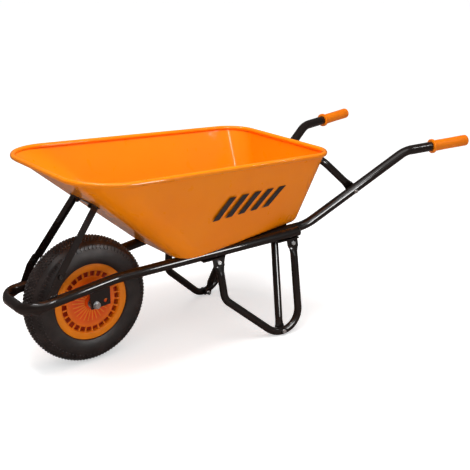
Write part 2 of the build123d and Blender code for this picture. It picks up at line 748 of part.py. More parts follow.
def tube_plug(end, outward):
    """A plastic plug pushed into a frame tube's end."""
    body = rod(end - outward * PLUG_DEPTH, end + outward * SEAT, TUBE_RADIUS - FRAME_WALL - SLIDE_FIT)
    body += rod(end + outward * SEAT, end + outward * (SEAT + PLUG_FLANGE), TUBE_RADIUS)
    hollow = rod(end - outward * (PLUG_DEPTH + 1), end - outward * PLUG_FLANGE, TUBE_RADIUS - 3 * FRAME_WALL)
    return body - hollow


def rail_end_plugs():
    plugs = []
    for side in (-1, 1):
        origin, along, _, _ = rail_plane(side, RAIL_END_X)
        plugs.append(tube_plug(origin, along))
    return plugs


def handle_corners(side):
    low = Vector(HANDLE_BEND_X, side * handle_half_width(HANDLE_BEND_X), rail_height(HANDLE_BEND_X))
    high = Vector(HANDLE_KNEE_X, side * HANDLE_KNEE_HALF_WIDTH, HANDLE_KNEE_HEIGHT)
    return low, high


def grip_axis(side):
    _, knee = handle_corners(side)
    end = Vector(GRIP_END_X, side * GRIP_END_HALF_WIDTH, GRIP_END_HEIGHT)
    return end, (end - knee).normalized()


def handle_tube(side):
    """Handle tube: beside the rail under the tray, up behind it, then level under the grip."""
    start = Vector(HANDLE_START_X, side * handle_half_width(HANDLE_START_X), rail_height(HANDLE_START_X))
    low, high = handle_corners(side)
    grip_end, direction = grip_axis(side)
    end = grip_end - direction * GRIP_END_WALL
    shape = tube([start, low, high, end], [HANDLE_BEND, HANDLE_KNEE_BEND], TUBE_RADIUS, FRAME_WALL)
    seat, into, grip_length = tray_bolt_line(side)
    shape -= drill(seat, into, grip_length)
    seat, into, grip_length = hoop_bolt_line(side)
    return shape - drill(seat, into, grip_length)


def handle_front_plugs():
    plugs = []
    for side in (-1, 1):
        _, along, _, _ = rail_plane(side, HANDLE_START_X)
        start = Vector(HANDLE_START_X, side * handle_half_width(HANDLE_START_X), rail_height(HANDLE_START_X))
        plugs.append(tube_plug(start, along * -1))
    return plugs


def grip(side):
    """Moulded grip: collar at the inner end, straight barrel, rounded closed end."""
    end, direction = grip_axis(side)
    base = end - direction * GRIP_LENGTH
    bore = TUBE_RADIUS + SLIDE_FIT
    floor = GRIP_LENGTH - GRIP_END_WALL + SEAT
    collar_top = GRIP_COLLAR_LENGTH + GRIP_COLLAR_SLOPE
    round_start = GRIP_LENGTH - GRIP_ROUND
    round_middle = GRIP_ROUND * (1 - sqrt(0.5))
    face_radius = GRIP_RADIUS - GRIP_ROUND
    outline = [
        Line((0, floor), (bore, floor)),
        Line((bore, floor), (bore, 0)),
        Line((bore, 0), (GRIP_COLLAR_RADIUS, 0)),
        Line((GRIP_COLLAR_RADIUS, 0), (GRIP_COLLAR_RADIUS, GRIP_COLLAR_LENGTH)),
        Line((GRIP_COLLAR_RADIUS, GRIP_COLLAR_LENGTH), (GRIP_RADIUS, collar_top)),
        Line((GRIP_RADIUS, collar_top), (GRIP_RADIUS, round_start)),
        ThreePointArc(
            (GRIP_RADIUS, round_start),
            (GRIP_RADIUS - round_middle, GRIP_LENGTH - round_middle),
            (face_radius, GRIP_LENGTH),
        ),
        Line((face_radius, GRIP_LENGTH), (0, GRIP_LENGTH)),
        Line((0, GRIP_LENGTH), (0, floor)),
    ]
    face = make_face([Plane.XZ * edge for edge in outline])
    return Plane(origin=base, z_dir=direction) * revolve(face, Axis.Z)


def cross_bar(x, width, reach, bolt_lines, half_width):
    """Flat bar under the tray's floor, welded between two tubes and flush with their tops."""
    up = frame_up()
    centre = Vector(x, 0, tray_floor_height(x)) - up * (SEAT + BAR_THICKNESS / 2)
    bar = block(centre, Vector(1, 0, RISE).normalized(), up, (width, 2 * reach, BAR_THICKNESS))
    for side in (-1, 1):
        start, end = (Vector(at, side * half_width(at), rail_height(at)) for at in (x - width, x + width))
        bar -= rod(start, end, TUBE_RADIUS + SEAT)
        seat, into, grip_length = bolt_lines(side)
        bar -= drill(seat, into, grip_length)
    return bar.solids().sort_by(SortBy.VOLUME)[-1]


def front_cross_bar():
    reach = rail_half_width(FRONT_BAR_X) - TUBE_RADIUS / 2
    return cross_bar(FRONT_BAR_X, FRONT_BAR_WIDTH, reach, front_bar_bolt_line, rail_half_width)


def rear_cross_bar():
    reach = handle_half_width(REAR_BAR_X) - TUBE_RADIUS / 2
    return cross_bar(REAR_BAR_X, REAR_BAR_WIDTH, reach, rear_bar_bolt_line, handle_half_width)


# ---- legs --------------------------------------------------------------------------------------
def foot_centre():
    """Centre of the foot's bend in the leg's plane, placed so that the tube rests on the ground."""
    origin, along, down, _ = leg_frame(1)
    steep = hypot(along.Z, down.Z)
    height = LIGHT_RADIUS + LEG_FOOT_BEND * steep
    return LEG_FOOT_ALONG, (origin.Z + LEG_FOOT_ALONG * along.Z - height) / -down.Z


def foot_corner(front, rear):
    """Where the straight runs beside the foot's bend would meet, in the leg's plane."""
    cx, cy = foot_centre()
    to_front = atan2(cy - front[1], cx - front[0]) + asin(LEG_FOOT_BEND / hypot(cx - front[0], cy - front[1]))
    to_rear = atan2(cy - rear[1], cx - rear[0]) - asin(LEG_FOOT_BEND / hypot(cx - rear[0], cy - rear[1]))
    ux, uy = cos(to_front), sin(to_front)
    vx, vy = cos(to_rear), sin(to_rear)
    gap_x, gap_y = rear[0] - front[0], rear[1] - front[1]
    run = (gap_x * vy - gap_y * vx) / (ux * vy - uy * vx)
    return front[0] + ux * run, front[1] + uy * run


def leg_tab(side, along, direction):
    """The flattened, drilled top of a leg, and the neck where it turns round."""
    _, a, down, outward = leg_frame(side)
    top = in_leg(side, along, LEG_TAB_TOP + TAB_LENGTH / 2)
    tab = block(top, a, outward, (TAB_WIDTH, TAB_LENGTH, TAB_THICKNESS))
    tab_end = in_leg(side, along, LEG_TAB_TOP + TAB_LENGTH)
    neck_end = tab_end + direction * TAB_NECK
    tab_start = tab_end - down * NECK_SINK
    neck = flattened_neck(neck_end, direction * -1, tab_start, down * -1, outward, TAB_WIDTH)
    return tab, neck


def leg(side):
    """A bent leg: down from the rail, along to the foot, round it and back up to the rail."""
    _, _, down, _ = leg_frame(side)
    neck_bottom = LEG_TAB_TOP + TAB_LENGTH + TAB_NECK
    front_corner = (0.0, LEG_FRONT_DROP)
    rear_top = (LEG_REAR_ALONG, LEG_TAB_TOP + TAB_LENGTH)
    low = foot_corner(front_corner, rear_top)
    points = [
        in_leg(side, 0, neck_bottom),
        in_leg(side, *front_corner),
        in_leg(side, *low),
        in_leg(side, *rear_top),
    ]
    rear_direction = (points[2] - points[3]).normalized()
    points[3] = points[3] + rear_direction * TAB_NECK
    shape = tube(points, [LEG_FRONT_BEND, LEG_FOOT_BEND], LIGHT_RADIUS, LIGHT_WALL)
    front_tab, front_neck = leg_tab(side, 0, down)
    rear_tab, rear_neck = leg_tab(side, LEG_REAR_ALONG, rear_direction)
    shape = shape + front_neck + front_tab + rear_neck + rear_tab
    for along in (0, LEG_REAR_ALONG):
        seat, into, grip = leg_bolt_line(side, along)
        shape -= drill(seat, into, grip)
    seat, into, grip = brace_foot_line(side)
    return shape - drill(seat, into, grip)


def leg_brackets(side):
    """Two folded brackets under the rail and handle tube, one at each top of the leg."""
    _, along, down, outward = leg_frame(side)
    _, rail_along, inward, up = rail_plane(side, LEG_FRONT_X)
    length = LEG_BRACKET_AHEAD + LEG_BRACKET_BEHIND
    width = FRAME_TUBE + TUBE_RADIUS
    brackets = []
    for at in (0, LEG_REAR_ALONG):
        flat_centre = on_rail(
            side,
            LEG_FRONT_X,
            along=at + 0.5 * (LEG_BRACKET_BEHIND - LEG_BRACKET_AHEAD),
            inward=0.5 * width - 6,
            up=-(TUBE_RADIUS + SEAT + LEG_BRACKET_THICKNESS / 2),
        )
        plate = block(flat_centre, rail_along, up, (length, width + 12, LEG_BRACKET_THICKNESS))
        ear_top = TUBE_RADIUS + 2.0
        ear_centre = in_leg(
            side,
            at,
            0.5 * (ear_top + LEG_EAR_DEPTH),
            -(TAB_THICKNESS / 2 + SEAT + LEG_BRACKET_THICKNESS / 2),
        )
        ear = block(ear_centre, along, outward, (TAB_WIDTH, LEG_EAR_DEPTH - ear_top, LEG_BRACKET_THICKNESS))
        bracket = plate + ear
        seat, into, grip_length = leg_bolt_line(side, at)
        bracket -= drill(seat, into, grip_length)
        if at == 0:
            seat, into, grip_length = tray_bolt_line(side)
            bracket -= drill(seat, into, grip_length)
        brackets.append(bracket)
    return brackets


# ---- leg braces --------------------------------------------------------------------------------
def foot_point():
    """The point on the foot's bend where the brace is bolted, in the leg's plane."""
    cx, cy = foot_centre()
    angle = radians(BRACE_FOOT_ANGLE)
    return cx + LEG_FOOT_BEND * sin(angle), cy + LEG_FOOT_BEND * cos(angle)


def brace_foot_line(side):
    """Bolt through the leg tube and a brace's lower tab: seat outside the leg, inwards."""
    _, _, _, outward = leg_frame(side)
    seat = in_leg(side, *foot_point(), LIGHT_RADIUS + SEAT)
    return seat, outward * -1, LIGHT_TUBE + 3 * SEAT + TAB_THICKNESS


def leg_brace(side):
    """Tube from the foot up to the rear bar, with both ends pressed flat and drilled."""
    _, along, down, outward = leg_frame(side)
    up = frame_up()
    rearward = Vector(1, 0, RISE).normalized()
    out = Vector(0, side, 0)
    foot = in_leg(side, *foot_point(), -(LIGHT_RADIUS + 2 * SEAT + TAB_THICKNESS / 2))
    seat, into, _ = rear_bar_bolt_line(side)
    top = seat + into * (TRAY_WALL + 3 * SEAT + BAR_THICKNESS + TAB_THICKNESS / 2)
    foot_run = foot - down * (BRACE_FOOT_RISE + BRACE_FOOT_TAB / 2)
    top_run = top + out * BRACE_TOP_TAB / 2
    line = (top_run - foot_run).normalized()
    low_end = foot_run + line * TAB_NECK
    high_end = top_run - line * TAB_NECK
    low_start = foot_run + down * NECK_SINK
    high_start = top_run - out * NECK_SINK
    shape = tube([low_end, high_end], [], LIGHT_RADIUS, LIGHT_WALL)
    low_tab = (BRACE_TAB_WIDTH, BRACE_FOOT_TAB, TAB_THICKNESS)
    high_tab = (BRACE_TAB_WIDTH, BRACE_TOP_TAB, TAB_THICKNESS)
    shape += block(foot - down * BRACE_FOOT_RISE, along, outward, low_tab)
    shape += block(top, rearward, up, high_tab)
    shape += flattened_neck(low_end, line * -1, low_start, down, outward, BRACE_TAB_WIDTH)
    shape += flattened_neck(high_end, line, high_start, out * -1, up * side, BRACE_TAB_WIDTH)
    for seat, into, grip_length in (rear_bar_bolt_line(side), brace_foot_line(side)):
        shape -= drill(seat, into, grip_length)
    return shape


# ---- rear hoop ---------------------------------------------------------------------------------
def rear_wall_x(height):
    """Outer face of the tray's rear wall at a height, in the centre plane."""
    low = tray_floor_height(FLOOR_REAR_X)
    share = (height - low) / (RIM_REAR_HEIGHT - low)
    return FLOOR_REAR_X + (RIM_REAR_X - FLOOR_REAR_X) * share


def hoop_end(side, corner):
    """A hoop's flattened end against the handle: the tab, its neck, and where the tube starts."""
    seat, inward, _ = hoop_bolt_line(side)
    anchor = seat + inward * (FRAME_TUBE + 2 * SEAT + TAB_THICKNESS / 2)
    run = corner - anchor
    flat = (run - inward * run.dot(inward)).normalized()
    tab_end = anchor + flat * HOOP_TAB / 2
    line = (corner - tab_end).normalized()
    neck_end = tab_end + line * TAB_NECK
    tab = block(anchor, flat, inward, (HOOP_TAB, HOOP_TAB_WIDTH, TAB_THICKNESS))
    tab_start = tab_end - flat * NECK_SINK
    neck = flattened_neck(neck_end, line * -1, tab_start, flat * -1, inward, HOOP_TAB_WIDTH)
    return tab, neck, neck_end


def rear_hoop():
    """Inverted U behind the tray, its flattened ends bolted to the inner sides of the handles."""
    across_x = rear_wall_x(HOOP_HEIGHT) + LIGHT_RADIUS + HOOP_CLEARANCE
    corners = [Vector(across_x, side * HOOP_HALF_WIDTH, HOOP_HEIGHT) for side in (-1, 1)]
    left_tab, left_neck, left_end = hoop_end(-1, corners[0])
    right_tab, right_neck, right_end = hoop_end(1, corners[1])
    points = [left_end, corners[0], corners[1], right_end]
    shape = tube(points, [HOOP_BEND, HOOP_BEND], LIGHT_RADIUS, LIGHT_WALL)
    shape = shape + left_tab + left_neck + right_tab + right_neck
    for side in (-1, 1):
        seat, inward, grip_length = hoop_bolt_line(side)
        shape -= drill(seat, inward, grip_length)
    return shape


# ---- front stays -------------------------------------------------------------------------------
def front_wall():
    """In the centre plane: the front wall's foot, up along its outside, and away from it."""
    low = Vector(FLOOR_FRONT_X, 0, tray_floor_height(FLOOR_FRONT_X))
    slope = (Vector(RIM_FRONT_X, 0, RIM_FRONT_HEIGHT) - low).normalized()
    return low, slope, Vector(-slope.Z, 0, slope.X)


def front_wall_point(height):
    low, slope, _ = front_wall()
    return low + slope * ((height - low.Z) / slope.Z)


def stay_points(side):
    """Foot on the rail, kink, and top under the tray's front wall, on a stay's centre line."""
    _, _, below = front_wall()
    top = front_wall_point(STAY_TOP_HEIGHT) + below * (1.5 * STAY_THICKNESS + 3 * SEAT)
    foot_height = front_rail_height(STAY_FOOT_X) + TUBE_RADIUS
    foot = Vector(STAY_FOOT_X, side * FRONT_HALF_WIDTH, foot_height)
    kink = Vector(STAY_KINK_X, side * FRONT_HALF_WIDTH, STAY_KINK_HEIGHT)
    return foot, kink, Vector(top.X, side * STAY_TOP_HALF_WIDTH, top.Z)


def rearward_of(direction, side):
    """Square to a direction and to the barrow's width, towards the handles."""
    square = Vector(0, side, 0).cross(direction).normalized()
    return square if square.X > 0 else square * -1


def stay_frame(side):
    """Along a stay, across its face towards the handles, and outwards."""
    _, kink, top = stay_points(side)
    along = (top - kink).normalized()
    outward = (Vector(0, side, 0) - along * (side * along.Y)).normalized()
    edge = along.cross(outward).normalized()
    return along, edge if edge.X > 0 else edge * -1, outward


def front_stay(side):
    """Flat stay with a folded lip, from the stay bracket up to the front wall."""
    _, kink, top = stay_points(side)
    along, edge, outward = stay_frame(side)
    low, slope, below = front_wall()
    length = (top - kink).length
    start = kink - outward * (STAY_THICKNESS + 4 * SEAT)
    bar_size = (length + 2 * STAY_THICKNESS, STAY_WIDTH, STAY_THICKNESS)
    bar = block(start + along * (length / 2), along, outward, bar_size)
    lip_length = length - STAY_TAB_OVERLAP
    lip_centre = start + along * (STAY_TAB_OVERLAP + lip_length / 2)
    lip_centre += edge * (STAY_WIDTH - STAY_THICKNESS) / 2 - outward * STAY_LIP / 2
    bar += block(lip_centre, along, outward, (lip_length, STAY_THICKNESS, STAY_LIP))
    under_strip = Plane(origin=low + below * (STAY_THICKNESS + 3 * SEAT), x_dir=slope, z_dir=below)
    bar = split(bar, bisect_by=under_strip, keep=Keep.TOP)
    seat, into, grip_length = stay_bolt_line(side)
    return bar - drill(seat, into, grip_length)


def stay_bracket(side):
    """Upright tab welded on top of the rail, with its upper part leaning back along the stay."""
    foot, kink, _ = stay_points(side)
    along, _, _ = stay_frame(side)
    outward = Vector(0, side, 0)
    up = (kink - foot).normalized()
    lean = (along - outward * along.dot(outward)).normalized()
    back = rearward_of(up, side) * (STAY_WIDTH / 2 + STAY_BRACKET_MARGIN)
    lean_back = rearward_of(lean, side) * (STAY_WIDTH / 2)
    tip = kink + lean * STAY_TAB_OVERLAP
    base = foot - up * TUBE_RADIUS / 2
    outline = Polyline(
        base - back,
        kink - back,
        tip - lean_back,
        tip + lean_back,
        kink + back,
        base + back,
        close=True,
    )
    tab = extrude(make_face(outline), STAY_THICKNESS / 2, dir=outward, both=True)
    ends = (STAY_FOOT_X - 2 * STAY_WIDTH, STAY_FOOT_X + 4 * STAY_WIDTH)
    start, end = (Vector(x, side * FRONT_HALF_WIDTH, front_rail_height(x)) for x in ends)
    tab -= rod(start, end, TUBE_RADIUS + SEAT)
    seat, into, grip_length = stay_bolt_line(side)
    tab -= drill(seat, into, grip_length)
    return tab.solids().sort_by(SortBy.VOLUME)[-1]


def stay_bolt_line(side):
    """Bolt that holds a stay to its bracket: seat outside the bracket, inwards."""
    _, kink, _ = stay_points(side)
    along, _, outward = stay_frame(side)
    seat = kink + along * STAY_BOLT_RISE + outward * (STAY_THICKNESS / 2 + STAY_BOLT_STAND)
    return seat, outward * -1, 2 * STAY_THICKNESS + STAY_BOLT_STAND + 6 * SEAT


def stay_crosspiece():
    """Flat strip under the front wall that joins the tops of the two stays."""
    _, slope, below = front_wall()
    centre = front_wall_point(STAY_TOP_HEIGHT) + below * (SEAT + STAY_THICKNESS / 2)
    reach = STAY_TOP_HALF_WIDTH + STAY_THICKNESS + SEAT
    strip = block(centre, slope, below, (CROSSPIECE_WIDTH, 2 * reach, STAY_THICKNESS))
    for side in (-1, 1):
        seat, into, grip_length = crosspiece_bolt_line(side)
        strip -= drill(seat, into, grip_length)
    return strip


def crosspiece_bolt_line(side):
    """Bolt through the front wall and the crosspiece: seat inside the tray."""
    _, _, below = front_wall()
    on_wall = front_wall_point(STAY_TOP_HEIGHT) + Vector(0, side * CROSSPIECE_BOLT_HALF_WIDTH, 0)
    return on_wall - below * (TRAY_WALL + SEAT), below, TRAY_WALL + STAY_THICKNESS + 3 * SEAT


# ---- tray --------------------------------------------------------------------------------------
def tray_floor_height(x):
    """Underside of the tray's floor, which lies on the rails and handle tubes."""
    lift = (TUBE_RADIUS + SEAT) * sqrt(1 + RISE**2)
    return rail_height(x) + lift


def rounded_outline(front, rear, inset):
    """A closed outline through four corners with rounded corners; front and rear are
    (x, half width, height, corner radius)."""
    fx, fw, fz, fr = front
    rx, rw, rz, rr = rear
    tilt = atan2(rz - fz, rx - fx)
    x_dir = (cos(tilt), 0, sin(tilt))
    plane = Plane(origin=(fx, 0, fz), x_dir=x_dir, z_dir=(-sin(tilt), 0, cos(tilt)))
    length = hypot(rx - fx, rz - fz)
    flat = Polygon((0, -fw), (length, -rw), (length, rw), (0, fw), align=None)
    if inset:
        flat = offset(flat, -inset, kind=Kind.INTERSECTION)
    flat = fillet(flat.vertices().sort_by(Axis.X)[:2], fr - inset)
    flat = fillet(flat.vertices().sort_by(Axis.X)[-2:], rr - inset)
    return plane * flat


def rim_ends():
    """Front and rear ends of the rim's outline."""
    front = (RIM_FRONT_X, RIM_FRONT_HALF_WIDTH, RIM_FRONT_HEIGHT, RIM_FRONT_CORNER)
    rear = (RIM_REAR_X, RIM_REAR_HALF_WIDTH, RIM_REAR_HEIGHT, RIM_REAR_CORNER)
    return front, rear


def floor_ends(raised):
    """Front and rear ends of the floor's outline, raised above the rails."""
    front_height = tray_floor_height(FLOOR_FRONT_X) + raised
    rear_height = tray_floor_height(FLOOR_REAR_X) + raised
    front = (FLOOR_FRONT_X, FLOOR_FRONT_HALF_WIDTH, front_height, FLOOR_FRONT_CORNER)
    rear = (FLOOR_REAR_X, FLOOR_REAR_HALF_WIDTH, rear_height, FLOOR_REAR_CORNER)
    return front, rear


def tray_body(inset, raised):
    """Solid frustum of the tray, or of its inside when it is drawn in by the wall."""
    floor = rounded_outline(*floor_ends(raised), inset)
    rim = rounded_outline(*rim_ends(), inset)
    body = loft([floor, rim], ruled=True)
    low = body.faces().sort_by(Axis.Z)[0]
    return fillet(low.edges(), FLOOR_EDGE_BEND - inset)


def tray():
    """Pressed pan with a rolled edge, bolt holes in its floor and two in its front wall."""
    shell = tray_body(0, 0) - tray_body(TRAY_WALL * TRAY_WALL_SLOPE, TRAY_WALL)
    rim_path = rounded_outline(*rim_ends(), 0).face().outer_wire()
    section = Plane(origin=rim_path @ 0, z_dir=rim_path % 0) * Circle(ROLLED_EDGE_RADIUS)
    shell += sweep(section, path=rim_path)
    for side in (-1, 1):
        for line in (tray_bolt_line, front_bar_bolt_line, rear_bar_bolt_line, crosspiece_bolt_line):
            seat, into, _ = line(side)
            shell -= drill(seat, into, TRAY_WALL)
    return shell


# ---- fastener groups ---------------------------------------------------------------------------
def fastened(kind, lines):
    """Bolts, and the washers with their nuts, for a list of (seat, direction, grip)."""
    bolts = []
    nuts = []
    for seat, into, grip in lines:
        bolt, washer, nut = stack(kind, seat, into, grip)
        bolts.append(bolt)
        nuts += [washer, nut]
    return bolts, nuts


def both_sides(line):
    return [line(side) for side in (-1, 1)]


# ---- writing the pieces ------------------------------------------------------------------------
def all_pieces():
    pieces = {
        "wheel_rim": wheel_rim(),
        "tyre": tyre(),
        "inner_tube": inner_tube(),
        "valve_stem": valve_stem(),
        "valve_cap": valve_cap(),
        "bearing_outer_races": bearing_rings(BEARING_OUTER_RADIUS - BEARING_RACE, BEARING_OUTER_RADIUS),
        "bearing_inner_races": bearing_rings(AXLE_RADIUS + HOLE_FIT / 2, AXLE_RADIUS + BEARING_RACE),
        "bearing_balls": bearing_balls(),
        "bearing_sleeve": bearing_sleeve(),
        "axle_spacers": axle_spacers(),
        "axle_bolt": axle_bolt(),
        "axle_nut": axle_nut(),
        "axle_washers": axle_washers(),
        "front_loop": front_loop(),
        "rail_end_plugs": rail_end_plugs(),
        "handle_front_plugs": handle_front_plugs(),
        "front_cross_bar": front_cross_bar(),
        "rear_cross_bar": rear_cross_bar(),
        "rear_hoop": rear_hoop(),
        "stay_crosspiece": stay_crosspiece(),
        "tray": tray(),
    }
    pairs = {
        "handle_tube": handle_tube,
        "grip": grip,
        "axle_bracket": axle_bracket,
        "leg": leg,
        "leg_brackets": leg_brackets,
        "leg_brace": leg_brace,
        "front_stay": front_stay,
        "stay_bracket": stay_bracket,
    }
    for name, make in pairs.items():
        right = solids_of(make(1))
        pieces[f"{name}_right"] = right
        pieces[f"{name}_left"] = [mirror(solid, Plane.XZ) for solid in right]
    leg_lines = [leg_bolt_line(side, at) for side in (-1, 1) for at in (0, LEG_REAR_ALONG)]
    groups = {
        "tray_middle": (dome_bolt, both_sides(tray_bolt_line)),
        "tray_front": (dome_bolt, both_sides(front_bar_bolt_line)),
        "tray_rear": (dome_bolt, both_sides(rear_bar_bolt_line)),
        "crosspiece": (dome_bolt, both_sides(crosspiece_bolt_line)),
        "leg": (hex_bolt, leg_lines),
        "brace_foot": (hex_bolt, both_sides(brace_foot_line)),
        "hoop": (hex_bolt, both_sides(hoop_bolt_line)),
        "stay": (hex_bolt, both_sides(stay_bolt_line)),
    }
    for name, (kind, lines) in groups.items():
        pieces[f"{name}_bolts"], pieces[f"{name}_nuts"] = fastened(kind, lines)
    return pieces


def solids_of(piece):
    if isinstance(piece, (list, tuple)):
        return [solid for part in piece for solid in part.solids()]
    return list(piece.solids())


def main():
    os.makedirs("parts", exist_ok=True)
    pieces = {name: solids_of(piece) for name, piece in all_pieces().items()}
    nose = min(solid.bounding_box().min.X for solid in pieces["front_loop"])
    tail = max(solid.bounding_box().max.X for solid in pieces["grip_left"])
    shift = Pos(-(nose + tail) / 2, 0, 0)
    for name, solids in pieces.items():
        moved = [shift * solid for solid in solids]
        shape = moved[0] if len(moved) == 1 else Compound(moved)
        export_step(shape, f"parts/{name}.step")


if __name__ == "__main__":
    main()
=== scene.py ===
import logging
from dataclasses import dataclass, field
from enum import Enum
from math import asin, cos, exp, hypot, pi, radians, sin, sqrt, tan
from typing import Callable, Iterable, Sequence

import bmesh
import bpy
from mathutils import Matrix, Quaternion, Vector


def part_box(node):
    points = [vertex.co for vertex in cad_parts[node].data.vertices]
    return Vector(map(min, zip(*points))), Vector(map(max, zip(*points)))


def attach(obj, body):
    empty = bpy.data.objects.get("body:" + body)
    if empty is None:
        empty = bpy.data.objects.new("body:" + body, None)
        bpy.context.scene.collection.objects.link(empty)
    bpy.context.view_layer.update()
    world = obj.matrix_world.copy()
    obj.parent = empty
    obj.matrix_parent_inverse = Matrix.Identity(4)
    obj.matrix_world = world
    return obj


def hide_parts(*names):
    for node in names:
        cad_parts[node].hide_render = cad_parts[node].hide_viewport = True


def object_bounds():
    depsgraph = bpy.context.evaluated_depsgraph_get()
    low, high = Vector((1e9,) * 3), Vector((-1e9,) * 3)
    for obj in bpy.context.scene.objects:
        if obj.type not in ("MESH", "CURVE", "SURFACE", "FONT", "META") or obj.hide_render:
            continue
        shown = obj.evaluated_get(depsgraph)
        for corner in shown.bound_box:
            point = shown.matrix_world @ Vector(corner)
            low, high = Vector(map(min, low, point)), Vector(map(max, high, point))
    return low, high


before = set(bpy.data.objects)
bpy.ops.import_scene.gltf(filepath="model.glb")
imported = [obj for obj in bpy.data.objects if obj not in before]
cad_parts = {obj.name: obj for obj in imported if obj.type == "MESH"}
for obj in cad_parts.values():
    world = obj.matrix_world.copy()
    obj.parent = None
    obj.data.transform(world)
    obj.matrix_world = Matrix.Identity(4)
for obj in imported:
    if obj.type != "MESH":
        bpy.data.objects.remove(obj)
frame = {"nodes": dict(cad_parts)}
CAD_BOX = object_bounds()
LOG = logging.getLogger("wheelbarrow")

# The axle is the datum of every size below: X runs back from it towards the handles, Z is up from
# the ground, and a half width is measured from the centre plane. All sizes are in metres.
TYRE_LOW, TYRE_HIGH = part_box("tyre")
AXLE = Vector(((TYRE_LOW.x + TYRE_HIGH.x) / 2, 0.0, (TYRE_LOW.z + TYRE_HIGH.z) / 2))
DATUM = Vector((AXLE.x, 0.0, 0.0))


class Body(Enum):
    """The two rigid bodies that pieces ride on."""

    FRAME = "frame"
    WHEEL = "wheel"


class Side(Enum):
    """The barrow's two sides, with the sign of their Y."""

    LEFT = -1
    RIGHT = 1

    @property
    def word(self) -> str:
        """The side's name as it is written in node names."""
        return self.name.lower()


# ---- node trees --------------------------------------------------------------------------------
class Graph:
    """A node tree, with short ways to add its nodes."""

    def __init__(self, tree: bpy.types.NodeTree) -> None:
        """Take the tree that nodes are added to."""
        self.nodes = tree.nodes
        self.links = tree.links

    def add(self, kind: str, inputs: dict | None = None, **settings: object) -> bpy.types.Node:
        """Add a node.

        Args:
            kind: The node's type.
            inputs: Values or sockets for its inputs, by name or number.
            **settings: Properties to set on the node.

        Returns:
            The new node.
        """
        node = self.nodes.new(kind)
        for key, value in settings.items():
            setattr(node, key, value)
        for key, value in (inputs or {}).items():
            self.put(node.inputs[key], value)
        return node

    def put(self, socket: bpy.types.NodeSocket, value: object) -> None:
        """Link a socket into an input, or set the input to a value."""
        if isinstance(value, bpy.types.NodeSocket):
            self.links.new(value, socket)
        else:
            socket.default_value = value

    def maths(self, operation: str, first: object, second: object = 0.0) -> bpy.types.NodeSocket:
        """One arithmetic step on values or sockets."""
        return self.add("ShaderNodeMath", {0: first, 1: second}, operation=operation).outputs["Value"]


class ShaderGraph(Graph):
    """A material's node tree, with what the finishes share."""

    def __init__(self, name: str) -> None:
        """Start a material with one Principled shader and the object's own coordinates.

        Args:
            name: The material's name.
        """
        self.material = bpy.data.materials.new(name)
        self.material.use_nodes = True
        super().__init__(self.material.node_tree)
        self.shader = self.nodes["Principled BSDF"]
        self.place = self.add("ShaderNodeTexCoord").outputs["Object"]

    def shade(self, **values: object) -> None:
        """Set inputs of the Principled shader; an underscore in a name stands for a space."""
        for key, value in values.items():
            self.put(self.shader.inputs[key.replace("_", " ")], value)

    def noise(self, scale: float, detail: float = 3.0, stretch: Sequence[float] | None = None):
        """Noise over the object's coordinates.

        Args:
            scale: Waves to the metre, roughly.
            detail: Octaves.
            stretch: Scale along each axis, for grain that runs one way.

        Returns:
            The noise's value socket.
        """
        place = self.place
        if stretch is not None:
            place = self.add("ShaderNodeMapping", {"Vector": place, "Scale": stretch}).outputs["Vector"]
        inputs = {"Vector": place, "Scale": scale, "Detail": detail}
        return self.add("ShaderNodeTexNoise", inputs).outputs["Fac"]

    def ramp(self, factor: bpy.types.NodeSocket, stops: Sequence[tuple[float, Sequence[float]]]):
        """Turn a value into a colour.

        Args:
            factor: The value socket.
            stops: Positions and RGB colours.

        Returns:
            The colour socket.
        """
        node = self.add("ShaderNodeValToRGB", {"Fac": factor})
        elements = node.color_ramp.elements
        while len(elements) < len(stops):
            elements.new(0.5)
        for element, (position, colour) in zip(elements, stops):
            element.position = position
            element.color = (*colour, 1.0)
        return node.outputs["Color"]

    def level(
        self, factor: bpy.types.NodeSocket, low: float, high: float, start: float = 0.3, end: float = 0.7
    ) -> bpy.types.NodeSocket:
        """Map a value's middle range to a new range.

        Args:
            factor: The value socket.
            low: Result at the start and below it.
            high: Result at the end and above it.
            start: Value that gives low.
            end: Value that gives high.

        Returns:
            The mapped value socket.
        """
        inputs = {"Value": factor, "From Min": start, "From Max": end, "To Min": low, "To Max": high}
        return self.add("ShaderNodeMapRange", inputs).outputs["Result"]

    def mix(self, factor: object, first: object, second: object):
        """Blend two colours."""
        node = self.add("ShaderNodeMix", data_type="RGBA")
        for key, value in (("Factor", factor), ("A", first), ("B", second)):
            sockets = [s for s in node.inputs if s.name == key and s.enabled]
            self.put(sockets[-1] if key != "Factor" else sockets[0], value)
        return [s for s in node.outputs if s.enabled][0]

    def bump(self, height: object, strength: float, depth: float, under: object = None):
        """Bump from a height.

        Args:
            height: The height socket.
            strength: How much of the bump shows.
            depth: Depth of the relief in metres.
            under: A normal socket that this bump lies on.

        Returns:
            The normal socket.
        """
        inputs = {"Height": height, "Strength": strength, "Distance": depth}
        if under is not None:
            inputs["Normal"] = under
        return self.add("ShaderNodeBump", inputs).outputs["Normal"]

    def from_axle(self) -> bpy.types.NodeSocket:
        """Distance of a point from the wheel's axis, in metres."""
        inputs = {"Vector": self.place, "Location": tuple(-AXLE), "Scale": (1.0, 1.0, 1.0)}
        moved = self.add("ShaderNodeMapping", inputs).outputs["Vector"]
        flat_inputs = {0: moved, 1: (1.0, 0.0, 1.0)}
        flat = self.add("ShaderNodeVectorMath", flat_inputs, operation="MULTIPLY").outputs["Vector"]
        return self.add("ShaderNodeVectorMath", {0: flat}, operation="LENGTH").outputs["Value"]


Colour = tuple[float, float, float]


